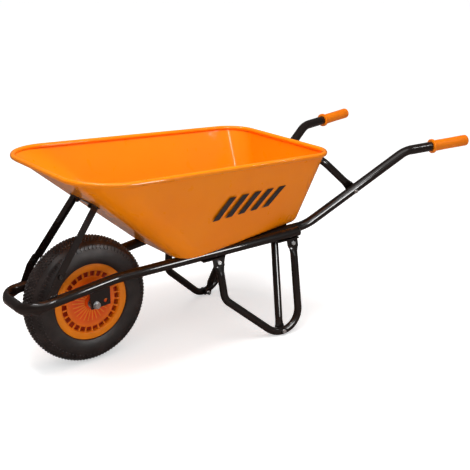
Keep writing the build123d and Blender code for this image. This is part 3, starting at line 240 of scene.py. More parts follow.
@dataclass(frozen=True)
class Paint:
    """Sprayed gloss paint: a slow drift of colour, orange peel, and a few dust nibs."""

    name: str
    colour: Colour
    drift: Colour
    roughness: float = 0.2
    gloss: float = 0.2
    coat: float = 0.8
    coat_roughness: float = 0.03
    peel: float = 0.12
    peel_scale: float = 170.0
    nib_scale: float = 900.0

    def make(self) -> bpy.types.Material:
        """Build the material."""
        graph = ShaderGraph(self.name)
        slow = graph.noise(3.0, 2.0)
        colour = graph.ramp(slow, [(0.35, self.colour), (0.68, self.drift)])
        peel = graph.noise(self.peel_scale, 2.0)
        nibs = graph.level(graph.noise(self.nib_scale, 1.0), 0.0, 1.0, 0.72, 0.8)
        soft = graph.bump(peel, self.peel, 0.0006)
        normal = graph.bump(nibs, 0.05, 0.0002, soft)
        rough = graph.level(graph.noise(28.0, 5.0), self.roughness * 0.8, self.roughness * 1.3)
        graph.shade(Base_Color=colour, Roughness=rough, Normal=soft, Coat_Normal=normal)
        graph.shade(Coat_Weight=self.coat, Coat_Roughness=self.coat_roughness, Coat_IOR=1.5)
        graph.shade(Specular_IOR_Level=self.gloss)
        return graph.material


@dataclass(frozen=True)
class Moulding:
    """Moulded plastic: fine spark texture, slight flow marks, and a tone that drifts at random; on the rim
    the tone follows the radius instead, as painted shade that is darker and redder towards the hub.
    """

    name: str
    outer: Colour
    inner: Colour
    roughness: float
    radial: bool = False
    grain_scale: float = 1400.0
    grain: float = 0.15

    def make(self) -> bpy.types.Material:
        """Build the material."""
        graph = ShaderGraph(self.name)
        if self.radial:
            # Painted shade: the colour darkens and reddens from the flanges in towards the hub.
            reach = graph.level(graph.from_axle(), 0.0, 1.0, 0.055, 0.104)
            colour = graph.ramp(reach, [(0.0, self.inner), (1.0, self.outer)])
        else:
            colour = graph.ramp(graph.noise(9.0, 3.0), [(0.3, self.inner), (0.7, self.outer)])
        marks = graph.level(graph.noise(35.0, 4.0), 0.93, 1.0)
        toned = graph.add("ShaderNodeHueSaturation", {"Color": colour, "Value": marks}).outputs["Color"]
        grain = graph.noise(self.grain_scale, 2.0)
        rough = graph.level(graph.noise(60.0, 4.0), self.roughness * 0.85, self.roughness * 1.15)
        normal = graph.bump(grain, self.grain, 0.0003)
        graph.shade(Base_Color=toned, Roughness=rough, Normal=normal, IOR=1.49, Specular_IOR_Level=0.22)
        return graph.material


@dataclass(frozen=True)
class TyreRubber:
    """Tyre rubber: mould rings on the side walls, a matt bloom, and fine pitting."""

    name: str
    colour: Colour = (0.018, 0.0115, 0.0098)
    bloom: Colour = (0.036, 0.024, 0.021)
    ring_pitch: float = 0.0032
    wall_start: float = 0.122
    wall_end: float = 0.178

    def make(self) -> bpy.types.Material:
        """Build the material."""
        graph = ShaderGraph(self.name)
        radius = graph.from_axle()
        wave = graph.maths("SINE", graph.maths("MULTIPLY", radius, 2 * pi / self.ring_pitch))
        inside = graph.level(radius, 0.0, 1.0, self.wall_start, self.wall_start + 0.004)
        outside = graph.level(radius, 1.0, 0.0, self.wall_end - 0.01, self.wall_end)
        rings = graph.maths("MULTIPLY", wave, graph.maths("MULTIPLY", inside, outside))
        pits = graph.noise(700.0, 4.0)
        bloom = graph.level(graph.noise(22.0, 6.0), 0.0, 1.0, 0.38, 0.66)
        colour = graph.mix(bloom, (*self.colour, 1.0), (*self.bloom, 1.0))
        fine = graph.bump(pits, 0.25, 0.0004)
        normal = graph.bump(rings, 0.35, 0.0004, fine)
        rough = graph.level(graph.noise(40.0, 5.0), 0.34, 0.52)
        graph.shade(Base_Color=colour, Roughness=rough, Normal=normal, IOR=1.5)
        return graph.material


@dataclass(frozen=True)
class PlainRubber:
    """Plain dark rubber or plastic with a fine matt grain."""

    name: str
    colour: Colour
    roughness: float = 0.6

    def make(self) -> bpy.types.Material:
        """Build the material."""
        graph = ShaderGraph(self.name)
        light = tuple(min(1.0, channel * 1.8 + 0.004) for channel in self.colour)
        colour = graph.ramp(graph.noise(45.0, 4.0), [(0.35, self.colour), (0.7, light)])
        rough = graph.level(graph.noise(80.0, 3.0), self.roughness * 0.85, self.roughness * 1.1)
        graph.shade(Base_Color=colour, Roughness=rough, Normal=graph.bump(graph.noise(900.0), 0.2, 0.0003))
        return graph.material


@dataclass(frozen=True)
class Metal:
    """Plated or ground metal: mottled colour, fine scratches, and varied gloss."""

    name: str
    colour: Colour
    tint: Colour
    roughness: float
    grain: tuple[float, float, float] = (1.0, 1.0, 1.0)
    scratch: float = 0.12

    def make(self) -> bpy.types.Material:
        """Build the material."""
        graph = ShaderGraph(self.name)
        colour = graph.ramp(graph.noise(120.0, 4.0), [(0.35, self.colour), (0.68, self.tint)])
        lines = graph.noise(500.0, 4.0, self.grain)
        rough = graph.level(lines, self.roughness * 0.7, self.roughness * 1.4)
        graph.shade(Base_Color=colour, Roughness=rough, Metallic=1.0)
        graph.shade(Normal=graph.bump(lines, self.scratch, 0.0002))
        return graph.material


@dataclass(frozen=True)
class Backdrop:
    """Matt pale studio floor."""

    name: str
    colour: Colour = (0.92, 0.92, 0.92)
    mirrored: Colour = (0.2, 0.155, 0.14)
    lift: float = 0.52

    def make(self) -> bpy.types.Material:
        """Build the material; it looks darker in reflections, as a floor with a black surround does."""
        graph = ShaderGraph(self.name)
        shade = tuple(channel * 0.985 for channel in self.colour)
        plain = graph.ramp(graph.noise(1.5, 2.0), [(0.3, self.colour), (0.7, shade)])
        path = graph.add("ShaderNodeLightPath")
        colour = graph.mix(path.outputs["Is Glossy Ray"], plain, (*self.mirrored, 1.0))
        graph.shade(Base_Color=colour, Roughness=0.9, Specular_IOR_Level=0.1)
        lift = graph.maths("MULTIPLY", path.outputs["Is Camera Ray"], self.lift)
        graph.shade(Emission_Color=(1.0, 1.0, 1.0, 1.0), Emission_Strength=lift)
        return graph.material


class Finish(Enum):
    """Every finish on the barrow. Each name is also the record's material slot, where it has one."""

    orange_paint = Paint(
        "tray_gloss_paint", (0.97, 0.235, 0.0004), (1.0, 0.27, 0.0008), roughness=0.32, gloss=0.1
    )
    # The rim plastic is painted darker and redder towards the hub, as shade on the recessed discs.
    orange_rim_plastic = Moulding("rim_plastic", (0.98, 0.25, 0.002), (0.9, 0.082, 0.002), 0.34, radial=True)
    # Painted highlight: a lighter copy of the rim plastic for the ribs and ridges, the same moulding lit
    # more.
    rim_rib_painted_highlight = Moulding("rim_rib_painted_highlight", (0.98, 0.33, 0.03), (0.98, 0.25, 0.02), 0.36, radial=True)
    # Painted shade: a darker copy of the rim plastic for the sheets behind the windows, where the inside of
    # the wheel lies in shade.
    rim_pocket_painted_shade = Moulding("rim_pocket_painted_shade", (0.6, 0.05, 0.002), (0.5, 0.032, 0.002), 0.5)
    orange_grip_plastic = Moulding("grip_plastic", (0.96, 0.225, 0.001), (0.92, 0.195, 0.001), 0.4, grain=0.3)
    tyre_rubber = TyreRubber("tyre_rubber")
    black_rubber = PlainRubber("black_rubber", (0.012, 0.012, 0.012), 0.65)
    black_plastic = PlainRubber("black_plastic", (0.01, 0.009, 0.009), 0.45)
    valve_brass = Metal("valve_brass", (0.72, 0.5, 0.24), (0.62, 0.42, 0.2), 0.3)
    bearing_steel = Metal("bearing_steel", (0.7, 0.71, 0.73), (0.6, 0.61, 0.63), 0.22, (1.0, 0.15, 1.0))
    # A darker zinc for the stay and crosspiece fasteners.
    dark_zinc = Metal("dark_zinc", (0.05, 0.045, 0.042), (0.09, 0.085, 0.08), 0.34)
    zinc_steel = Metal("bright_zinc", (0.82, 0.83, 0.85), (0.7, 0.71, 0.69), 0.26)
    black_frame_paint = Paint(
        "frame_gloss_black",
        (0.0085, 0.0048, 0.0036),
        (0.014, 0.0078, 0.006),
        roughness=0.34,
        gloss=0.12,
        coat=1.0,
        coat_roughness=0.035,
        peel=0.10,
        peel_scale=260.0,
    )
    weld_paint = Paint("weld_black", (0.008, 0.006, 0.0055), (0.014, 0.01, 0.009), roughness=0.42, peel=0.3)
    stripe_film = PlainRubber("stripe_film", (0.02, 0.016, 0.016), 0.35)
    studio_floor = Backdrop("studio_floor")


class Paintbox:
    """Makes each finish's material once and hands it out."""

    def __init__(self) -> None:
        """Start with no materials made."""
        self.made: dict[Finish, bpy.types.Material] = {}

    def material(self, finish: Finish) -> bpy.types.Material:
        """The material of a finish, made on its first use."""
        if finish not in self.made:
            self.made[finish] = finish.value.make()
        return self.made[finish]


# ---- meshes ------------------------------------------------------------------------------------
Rings = Sequence[Sequence[Vector]]


class MeshDraft:
    """Collects vertices and faces of a piece that is given by rows of points."""

    def __init__(self) -> None:
        """Start with an empty mesh."""
        self.points: list[Vector] = []
        self.faces: list[tuple[int, ...]] = []

    def rows(self, rings: Rings, loop: bool = True, closed: bool = False, caps: bool = False) -> "MeshDraft":
        """Skin a series of rings that have the same number of points.

        Args:
            rings: The rings, in order.
            loop: Whether each ring is a closed loop.
            closed: Whether the last ring joins the first.
            caps: Whether the first and last rings are filled.

        Returns:
            This draft.
        """
        base = len(self.points)
        wide = len(rings[0])
        for ring in rings:
            self.points.extend(Vector(point) for point in ring)
        spans = len(rings) if closed else len(rings) - 1
        steps = wide if loop else wide - 1
        for i in range(spans):
            low = base + i * wide
            high = base + (i + 1) % len(rings) * wide
            for j in range(steps):
                k = (j + 1) % wide
                self.faces.append((low + j, low + k, high + k, high + j))
        if caps:
            last = base + (len(rings) - 1) * wide
            self.faces.append(tuple(range(base + wide - 1, base - 1, -1)))
            self.faces.append(tuple(range(last, last + wide)))
        return self

    def mesh(self, name: str, sharp: float = 40.0) -> bpy.types.Mesh:
        """Turn the draft into a smooth-shaded mesh whose faces point outwards.

        Args:
            name: The mesh's name.
            sharp: Edges that turn by more than this many degrees stay sharp.

        Returns:
            The mesh.
        """
        mesh = bpy.data.meshes.new(name)
        mesh.from_pydata([tuple(point) for point in self.points], [], self.faces)
        clean(mesh, sharp)
        return mesh


def clean(mesh: bpy.types.Mesh, sharp: float = 40.0, recalculate: bool = True) -> bpy.types.Mesh:
    """Merge doubles, point faces outwards, and shade smooth with sharp edges marked.

    Args:
        mesh: The mesh to clean.
        sharp: Edges that turn by more than this many degrees stay sharp.
        recalculate: Whether the normals are worked out again.

    Returns:
        The same mesh.
    """
    work = bmesh.new()
    work.from_mesh(mesh)
    bmesh.ops.remove_doubles(work, verts=work.verts, dist=1e-6)
    if recalculate:
        bmesh.ops.recalc_face_normals(work, faces=work.faces)
    for face in work.faces:
        face.smooth = True
    for edge in work.edges:
        edge.smooth = not (edge.is_manifold and edge.calc_face_angle(0.0) > radians(sharp))
    work.to_mesh(mesh)
    work.free()
    return mesh


def lathe(profile: Sequence[tuple[float, float]], steps: int, start: float = 0.0) -> Rings:
    """Rings of a closed outline turned about the wheel's axis.

    Args:
        profile: The outline as (radius, y).
        steps: Rings in the full turn.
        start: Angle of the first ring.

    Returns:
        One ring of points for each step, for MeshDraft.rows with closed=True.
    """
    rings = []
    for i in range(steps):
        angle = start + 2 * pi * i / steps
        ray = Vector((cos(angle), 0.0, sin(angle)))
        rings.append([AXLE + ray * radius + Vector((0.0, y, 0.0)) for radius, y in profile])
    return rings


def arc(centre: tuple[float, float], radius: float, start: float, end: float, steps: int) -> list:
    """Points of a flat arc, with angles in degrees."""
    angles = [radians(start + (end - start) * i / steps) for i in range(steps + 1)]
    return [(centre[0] + radius * cos(a), centre[1] + radius * sin(a)) for a in angles]


def rounded(profile: Sequence[tuple[float, float]], radius: float, steps: int = 3) -> list:
    """A closed outline with each corner replaced by a short curve.

    Args:
        profile: Corner points.
        radius: Largest distance from a corner that the curve takes up.
        steps: Segments in each curve.

    Returns:
        The new outline's points.
    """
    points = [Vector(point) for point in profile]
    result = []
    for i, corner in enumerate(points):
        before = points[i - 1] - corner
        after = points[(i + 1) % len(points)] - corner
        reach = min(radius, before.length * 0.4, after.length * 0.4)
        first = corner + before.normalized() * reach
        last = corner + after.normalized() * reach
        for k in range(steps + 1):
            t = k / steps
            result.append(tuple(first * (1 - t) ** 2 + corner * 2 * t * (1 - t) + last * t * t))
    return result


@dataclass(frozen=True)
class Station:
    """A point of a tube's centre line, with how far it lies into the bend it belongs to."""

    point: Vector
    along: Vector
    bend: int
    share: float


def route(corners: Sequence[Vector], radii: Sequence[float], step: float = 0.012) -> list[Station]:
    """Stations of a centre line with straight runs and tangent arcs.

    Args:
        corners: Ends and corners of the line.
        radii: Bend radius at each corner between the ends.
        step: Spacing of the stations in the bends.

    Returns:
        Stations in order; bend is -1 on a straight run, and share runs from 0 to 1 through a bend.
    """
    stations = [Station(corners[0], (corners[1] - corners[0]).normalized(), -1, 0.0)]
    for number, radius in enumerate(radii):
        before, corner, after = corners[number : number + 3]
        inward = (before - corner).normalized()
        onward = (after - corner).normalized()
        turn = pi - inward.angle(onward)
        reach = radius * tan(turn / 2)
        centre = corner + (inward + onward).normalized() * hypot(radius, reach)
        arm = corner + inward * reach - centre
        axis = (-inward).cross(onward).normalized()
        count = max(6, int(radius * turn / step))
        for k in range(count + 1):
            spin = Quaternion(axis, turn * k / count)
            stations.append(Station(centre + spin @ arm, spin @ -inward, number, k / count))
    stations.append(Station(corners[-1], (corners[-1] - corners[-2]).normalized(), -1, 0.0))
    return spread(stations)


def spread(stations: Sequence[Station], longest: float = 0.06) -> list[Station]:
    """Add stations on long straight runs, so that rings stay evenly spaced."""
    result = [stations[0]]
    for station in stations[1:]:
        last = result[-1]
        gap = station.point - last.point
        extra = int(gap.length / longest)
        for k in range(1, extra + 1):
            point = last.point + gap * (k / (extra + 1))
            result.append(Station(point, gap.normalized(), -1, 0.0))
        result.append(station)
    return result


Section = Callable[[Station, float], float]


def swept(
    stations: Sequence[Station], radius: Section, steps: int = 28, up: Vector = Vector((0, 0, 1))
) -> Rings:
    """Rings of a tube along its stations.

    Args:
        stations: The centre line.
        radius: Gives the radius at a station for an angle round the tube, 0 being up.
        steps: Points in each ring.
        up: Direction that angle 0 is turned towards on the first ring.

    Returns:
        The rings, carried along without twist.
    """
    rings = []
    normal = up
    for station in stations:
        normal = (normal - station.along * normal.dot(station.along)).normalized()
        side = station.along.cross(normal)
        ring = []
        for j in range(steps):
            angle = 2 * pi * j / steps
            ray = normal * cos(angle) + side * sin(angle)
            ring.append(station.point + ray * radius(station, angle))
        rings.append(ring)
    return rings


# ---- geometry node trees -------------------------------------------------------------------------
class Pattern(Graph):
    """A Geometry Nodes tree with named inputs, which makes one plain mesh."""

    def __init__(self, name: str) -> None:
        """Start an empty tree.

        Args:
            name: The tree's name.
        """
        self.group = bpy.data.node_groups.new(name, "GeometryNodeTree")
        self.group.interface.new_socket("Geometry", in_out="OUTPUT", socket_type="NodeSocketGeometry")
        super().__init__(self.group)
        self.inlet = self.nodes.new("NodeGroupInput")
        self.outlet = self.nodes.new("NodeGroupOutput")
        self.settings: dict[str, object] = {}

    def input(self, name: str, value: object) -> bpy.types.NodeSocket:
        """Add a named input to the tree.

        Args:
            name: The input's name.
            value: Its value: a whole number, a length or a vector.

        Returns:
            The socket that carries it inside the tree.
        """
        kinds = {int: "NodeSocketInt", float: "NodeSocketFloat", Vector: "NodeSocketVector"}
        item = self.group.interface.new_socket(name, in_out="INPUT", socket_type=kinds[type(value)])
        self.settings[item.identifier] = value[:] if isinstance(value, Vector) else value
        return self.inlet.outputs[name]

    def vector(self, x: object = 0.0, y: object = 0.0, z: object = 0.0) -> bpy.types.NodeSocket:
        """A vector from three values or sockets."""
        return self.add("ShaderNodeCombineXYZ", {"X": x, "Y": y, "Z": z}).outputs["Vector"]

    def scatter(self, points: object, piece: object, rotation: object, scale: object) -> bpy.types.NodeSocket:
        """Put a piece on every point.

        Args:
            points: Geometry whose points carry the pieces.
            piece: Geometry of one piece.
            rotation: Euler rotation of each.
            scale: Scale of each.

        Returns:
            The instances' socket.
        """
        inputs = {"Points": points, "Instance": piece, "Rotation": rotation, "Scale": scale}
        return self.add("GeometryNodeInstanceOnPoints", inputs).outputs["Instances"]

    def ring(
        self,
        points: object,
        around: object,
        reach: object,
        across: object,
        lean: object,
        piece: object,
        size: object,
    ) -> bpy.types.NodeSocket:
        """Put a piece on every point of a ring about the Y axis, with its foot towards the axis.

        Args:
            points: Geometry with one point for each piece.
            around: Angle of each piece about the axis.
            reach: Distance of each piece from the axis.
            across: Place of each piece along the axis.
            lean: Angle that each piece leans out by.
            piece: Geometry of one piece.
            size: Scale of each.

        Returns:
            The instances' socket.
        """
        x = self.maths("MULTIPLY", reach, self.maths("COSINE", around))
        z = self.maths("MULTIPLY", reach, self.maths("SINE", around))
        inputs = {"Geometry": points, "Position": self.vector(x, across, z)}
        placed = self.add("GeometryNodeSetPosition", inputs).outputs["Geometry"]
        turn = self.maths("SUBTRACT", pi / 2, around)
        rotation = self.vector(self.maths("MULTIPLY", lean, -1.0), turn, 0.0)
        return self.scatter(placed, piece, rotation, size)

    def stud(self, sides: int, top: float, foot: float) -> bpy.types.NodeSocket:
        """A tapered stud of unit height, standing on the origin."""
        inputs = {"Vertices": sides, "Radius Top": top, "Radius Bottom": foot, "Depth": 1.0}
        return self.add("GeometryNodeMeshCone", inputs).outputs["Mesh"]

    def make(self, geometry: bpy.types.NodeSocket, name: str, material: bpy.types.Material) -> bpy.types.Mesh:
        """Close the tree and turn its result into a plain mesh.

        Args:
            geometry: The tree's result.
            name: The mesh's name.
            material: The material set on it.

        Returns:
            The mesh, where the tree puts it.
        """
        real = self.add("GeometryNodeRealizeInstances", {"Geometry": geometry}).outputs["Geometry"]
        dressed = self.add("GeometryNodeSetMaterial", {"Geometry": real, "Material": material})
        self.links.new(dressed.outputs["Geometry"], self.outlet.inputs[0])
        seed = bpy.data.objects.new(name + "_seed", bpy.data.meshes.new(name + "_seed"))
        bpy.context.scene.collection.objects.link(seed)
        modifier = seed.modifiers.new("pattern", "NODES")
        modifier.node_group = self.group
        for identifier, value in self.settings.items():
            modifier[identifier] = value
        mesh = bpy.data.meshes.new_from_object(seed.evaluated_get(bpy.context.evaluated_depsgraph_get()))
        mesh.name = name
        seed.modifiers.remove(modifier)
        bpy.data.objects.remove(seed)
        return mesh


# ---- pieces ------------------------------------------------------------------------------------
class Workshop:
    """Puts finished meshes into the scene and dresses them."""

    def __init__(self) -> None:
        """Start with an empty paintbox."""
        self.paints = Paintbox()

    def piece(
        self,
        name: str,
        mesh: bpy.types.Mesh,
        finish: Finish,
        body: Body = Body.FRAME,
        replaces: Sequence[str] = (),
        slot: str | None = None,
    ) -> bpy.types.Object:
        """Add a mesh as a piece that rides on a body.

        Args:
            name: The piece's name.
            mesh: Its mesh, already in place.
            finish: Its finish.
            body: The body that it rides on.
            replaces: Frame nodes that it stands for.
            slot: The record's material slot, if it isn't the finish's own; not used.

        Returns:
            The new object.
        """
        thing = bpy.data.objects.new(name, mesh)
        bpy.context.scene.collection.objects.link(thing)
        mesh.materials.clear()
        mesh.materials.append(self.paints.material(finish))
        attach(thing, body.value)
        if replaces:
            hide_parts(*replaces)
        LOG.info("%s: %d faces, rides on %s", name, len(mesh.polygons), body.value)
        return thing

    def dress(self, finish: Finish, *nodes: str) -> None:
        """Give frame nodes a finish."""
        for node in nodes:
            thing = frame["nodes"][node]
            if not thing.material_slots:
                thing.data.materials.append(self.paints.material(finish))
            for place in thing.material_slots:
                place.material = self.paints.material(finish)

    def finished(
        self, name: str, mesh: bpy.types.Mesh, modifiers: Iterable[tuple[str, dict]]
    ) -> bpy.types.Mesh:
        """Apply modifiers to a mesh.

        Args:
            name: Name of the result.
            mesh: The mesh.
            modifiers: Modifier types with their settings, in order.

        Returns:
            The finished mesh.
        """
        thing = bpy.data.objects.new(name + "_work", mesh)
        bpy.context.scene.collection.objects.link(thing)
        for kind, settings in modifiers:
            modifier = thing.modifiers.new(kind.lower(), kind)
            for key, value in settings.items():
                setattr(modifier, key, value)
        evaluated = thing.evaluated_get(bpy.context.evaluated_depsgraph_get())
        result = bpy.data.meshes.new_from_object(evaluated)
        result.name = name
        bpy.data.objects.remove(thing)
        return result


@dataclass
class Tyre:
    """The pneumatic tyre: a turned carcass, small crown blocks in staggered rows, and shoulder lugs."""

    shop: Workshop
    tread_depth: float = 0.0024
    root: float = 1.35
    shoulder_drop: float = 0.015
    shoulder_half: float = 0.0412
    widest_radius: float = 0.1493
    bead_radius: float = 0.1016
    bead_half: float = 0.0357
    flange_radius: float = 0.1216
    flange_half: float = 0.042
    wall: float = 0.006
    steps: int = 160
    blocks_round: int = 110
    block_rows: int = 7
    row_pitch: float = 0.0086
    block_width: float = 0.0082
    block_length: float = 0.0070
    block_skew: float = 0.5
    block_top: float = 0.38
    block_foot: float = 0.62
    block_jitter: float = 0.12
    lugs_round: int = 84
    lug_radius: float = 0.1740
    lug_half: float = 0.0438
    lug_depth: float = 0.0030
    lug_length: float = 0.0135
    lug_width: float = 0.0080
    lug_tilt: float = 1.24
    lug_top: float = 0.4
    lug_foot: float = 0.56

    @property
    def radius(self) -> float:
        """The tyre's outer radius."""
        return (TYRE_HIGH.z - TYRE_LOW.z) / 2

    @property
    def half_width(self) -> float:
        """Half the tyre's width."""
        return (TYRE_HIGH.y - TYRE_LOW.y) / 2

    @property
    def crown(self) -> float:
        """Radius of the crown's curve across the tread."""
        return (self.shoulder_half**2 + self.shoulder_drop**2) / (2 * self.shoulder_drop)

    def half_outline(self) -> list[tuple[float, float]]:
        """Outside of the carcass from the crown's middle to the rim flange, as (radius, y)."""
        top = self.radius - self.tread_depth
        full = asin(self.shoulder_half / self.crown)
        points = []
        for i in range(9):
            angle = full * i / 8
            points.append((top - self.crown * (1 - cos(angle)), self.crown * sin(angle)))
        start = top - self.shoulder_drop
        run = start - self.widest_radius
        swell = self.half_width - self.shoulder_half
        bulge = (run**2 + swell**2) / (2 * swell)
        for i in range(1, 9):
            lower = start - run * i / 8
            offset = lower - self.widest_radius
            points.append((lower, self.half_width - bulge + sqrt(bulge**2 - offset**2)))
        inner_run = self.widest_radius - self.flange_radius
        depth = self.half_width - self.flange_half
        for i in range(1, 8):
            angle = pi / 2 * i / 7
            across = self.half_width - depth * (1 - cos(angle))
            points.append((self.widest_radius - inner_run * sin(angle), across))
        return points

    def carcass(self) -> bpy.types.Mesh:
        """The hollow ring of rubber between the tread and the beads."""
        outside = self.half_outline()
        foot = [(self.flange_radius, self.bead_half + 0.001), (self.bead_radius, self.bead_half)]
        hollow = [(r - self.wall, y * (1 - self.wall / self.half_width)) for r, y in outside[:-4:2]]
        inside = hollow + [(self.bead_radius + self.wall, self.bead_half - self.wall)]
        lower = [(r, -y) for r, y in outside[1:] + foot]
        inside_back = [(r, -y) for r, y in reversed(inside)] + inside[1:]
        loop = outside + foot + list(reversed(inside_back)) + list(reversed(lower))
        return MeshDraft().rows(lathe(loop, self.steps), closed=True).mesh("tyre_carcass", 50.0)

    def crown_blocks(self) -> bpy.types.Mesh:
        """Small tapered blocks over the crown, each row set half a pitch on from the last."""
        tree = Pattern("tread_blocks")
        count = tree.input("Blocks Round", self.blocks_round)
        rows = tree.input("Rows", self.block_rows)
        pitch = tree.input("Row Pitch", self.row_pitch)
        crown = tree.input("Crown Radius", self.crown)
        depth_value = self.tread_depth * self.root
        radius = tree.input("Seat Radius", self.radius - depth_value - 0.0001)
        depth = tree.input("Block Depth", depth_value)
        length = tree.input("Block Length", self.block_length)
        width = tree.input("Block Width", self.block_width)
        skew = tree.input("Skew", self.block_skew)
        seed = tree.input("Seed", 7)
        total = tree.maths("MULTIPLY", count, rows)
        line = tree.add("GeometryNodeMeshLine", {"Count": total}).outputs["Mesh"]
        index = tree.add("GeometryNodeInputIndex").outputs["Index"]
        row = tree.maths("FLOOR", tree.maths("DIVIDE", index, count))
        place = tree.maths("MODULO", index, count)
        odd = tree.maths("MODULO", row, 2.0)
        share = tree.maths("DIVIDE", tree.maths("ADD", place, tree.maths("MULTIPLY", odd, 0.5)), count)
        around = tree.maths("MULTIPLY", share, 2 * pi)
        middle = tree.maths("DIVIDE", tree.maths("SUBTRACT", rows, 1.0), 2.0)
        aside = tree.maths("MULTIPLY", tree.maths("SUBTRACT", row, middle), pitch)
        lateral = tree.maths("DIVIDE", aside, crown)
        drop = tree.maths("MULTIPLY", crown, tree.maths("SUBTRACT", 1.0, tree.maths("COSINE", lateral)))
        reach = tree.maths("SUBTRACT", radius, drop)
        across = tree.maths("MULTIPLY", crown, tree.maths("SINE", lateral))
        block = tree.stud(6, self.block_top, self.block_foot)
        size = tree.vector(length, width, depth)
        blocks = tree.ring(line, around, reach, across, lateral, block, size)
        limits = {2: -self.block_jitter, 3: self.block_jitter, "Seed": seed}
        jitter = tree.add("FunctionNodeRandomValue", limits, data_type="FLOAT")
        side = tree.maths("MULTIPLY", tree.maths("SUBTRACT", odd, 0.5), skew)
        spin = tree.vector(0.0, 0.0, tree.maths("ADD", side, jitter.outputs[1]))
        turned = tree.add("GeometryNodeRotateInstances", {"Instances": blocks, "Rotation": spin})
        return self.in_place(tree, turned.outputs["Instances"], "tyre_blocks")

    def shoulder_lugs(self) -> bpy.types.Mesh:
        """Longer lugs across each shoulder, evenly spaced, those on one side between the other's."""
        tree = Pattern("shoulder_lugs")
        count = tree.input("Lugs Round", self.lugs_round)
        reach = tree.input("Seat Radius", self.lug_radius)
        half = tree.input("Half Width", self.lug_half)
        depth = tree.input("Lug Depth", self.lug_depth)
        length = tree.input("Lug Length", self.lug_length)
        width = tree.input("Lug Width", self.lug_width)
        tilt = tree.input("Tilt", self.lug_tilt)
        line = tree.add("GeometryNodeMeshLine", {"Count": tree.maths("MULTIPLY", count, 2.0)}).outputs["Mesh"]
        index = tree.add("GeometryNodeInputIndex").outputs["Index"]
        far = tree.maths("FLOOR", tree.maths("DIVIDE", index, count))
        sign = tree.maths("SUBTRACT", tree.maths("MULTIPLY", far, 2.0), 1.0)
        step = tree.maths("ADD", tree.maths("MODULO", index, count), tree.maths("MULTIPLY", far, 0.5))
        around = tree.maths("MULTIPLY", tree.maths("DIVIDE", step, count), 2 * pi)
        across = tree.maths("MULTIPLY", sign, half)
        lean = tree.maths("MULTIPLY", sign, tilt)
        lug = tree.stud(8, self.lug_top, self.lug_foot)
        size = tree.vector(width, length, depth)
        lugs = tree.ring(line, around, reach, across, lean, lug, size)
        return self.in_place(tree, lugs, "tyre_shoulder_lugs")

    def in_place(self, tree: Pattern, geometry: bpy.types.NodeSocket, name: str) -> bpy.types.Mesh:
        """Make a tree's mesh in the tyre's rubber, moved from the origin onto the axle."""
        mesh = tree.make(geometry, name, self.shop.paints.material(Finish.tyre_rubber))
        mesh.transform(Matrix.Translation(AXLE))
        return mesh

    def build(self) -> None:
        """Make the tyre's pieces."""
        self.shop.piece("tyre_carcass", self.carcass(), Finish.tyre_rubber, Body.WHEEL, ["tyre"])
        self.shop.piece("tyre_blocks", self.crown_blocks(), Finish.tyre_rubber, Body.WHEEL)
        self.shop.piece("tyre_shoulder_lugs", self.shoulder_lugs(), Finish.tyre_rubber, Body.WHEEL)


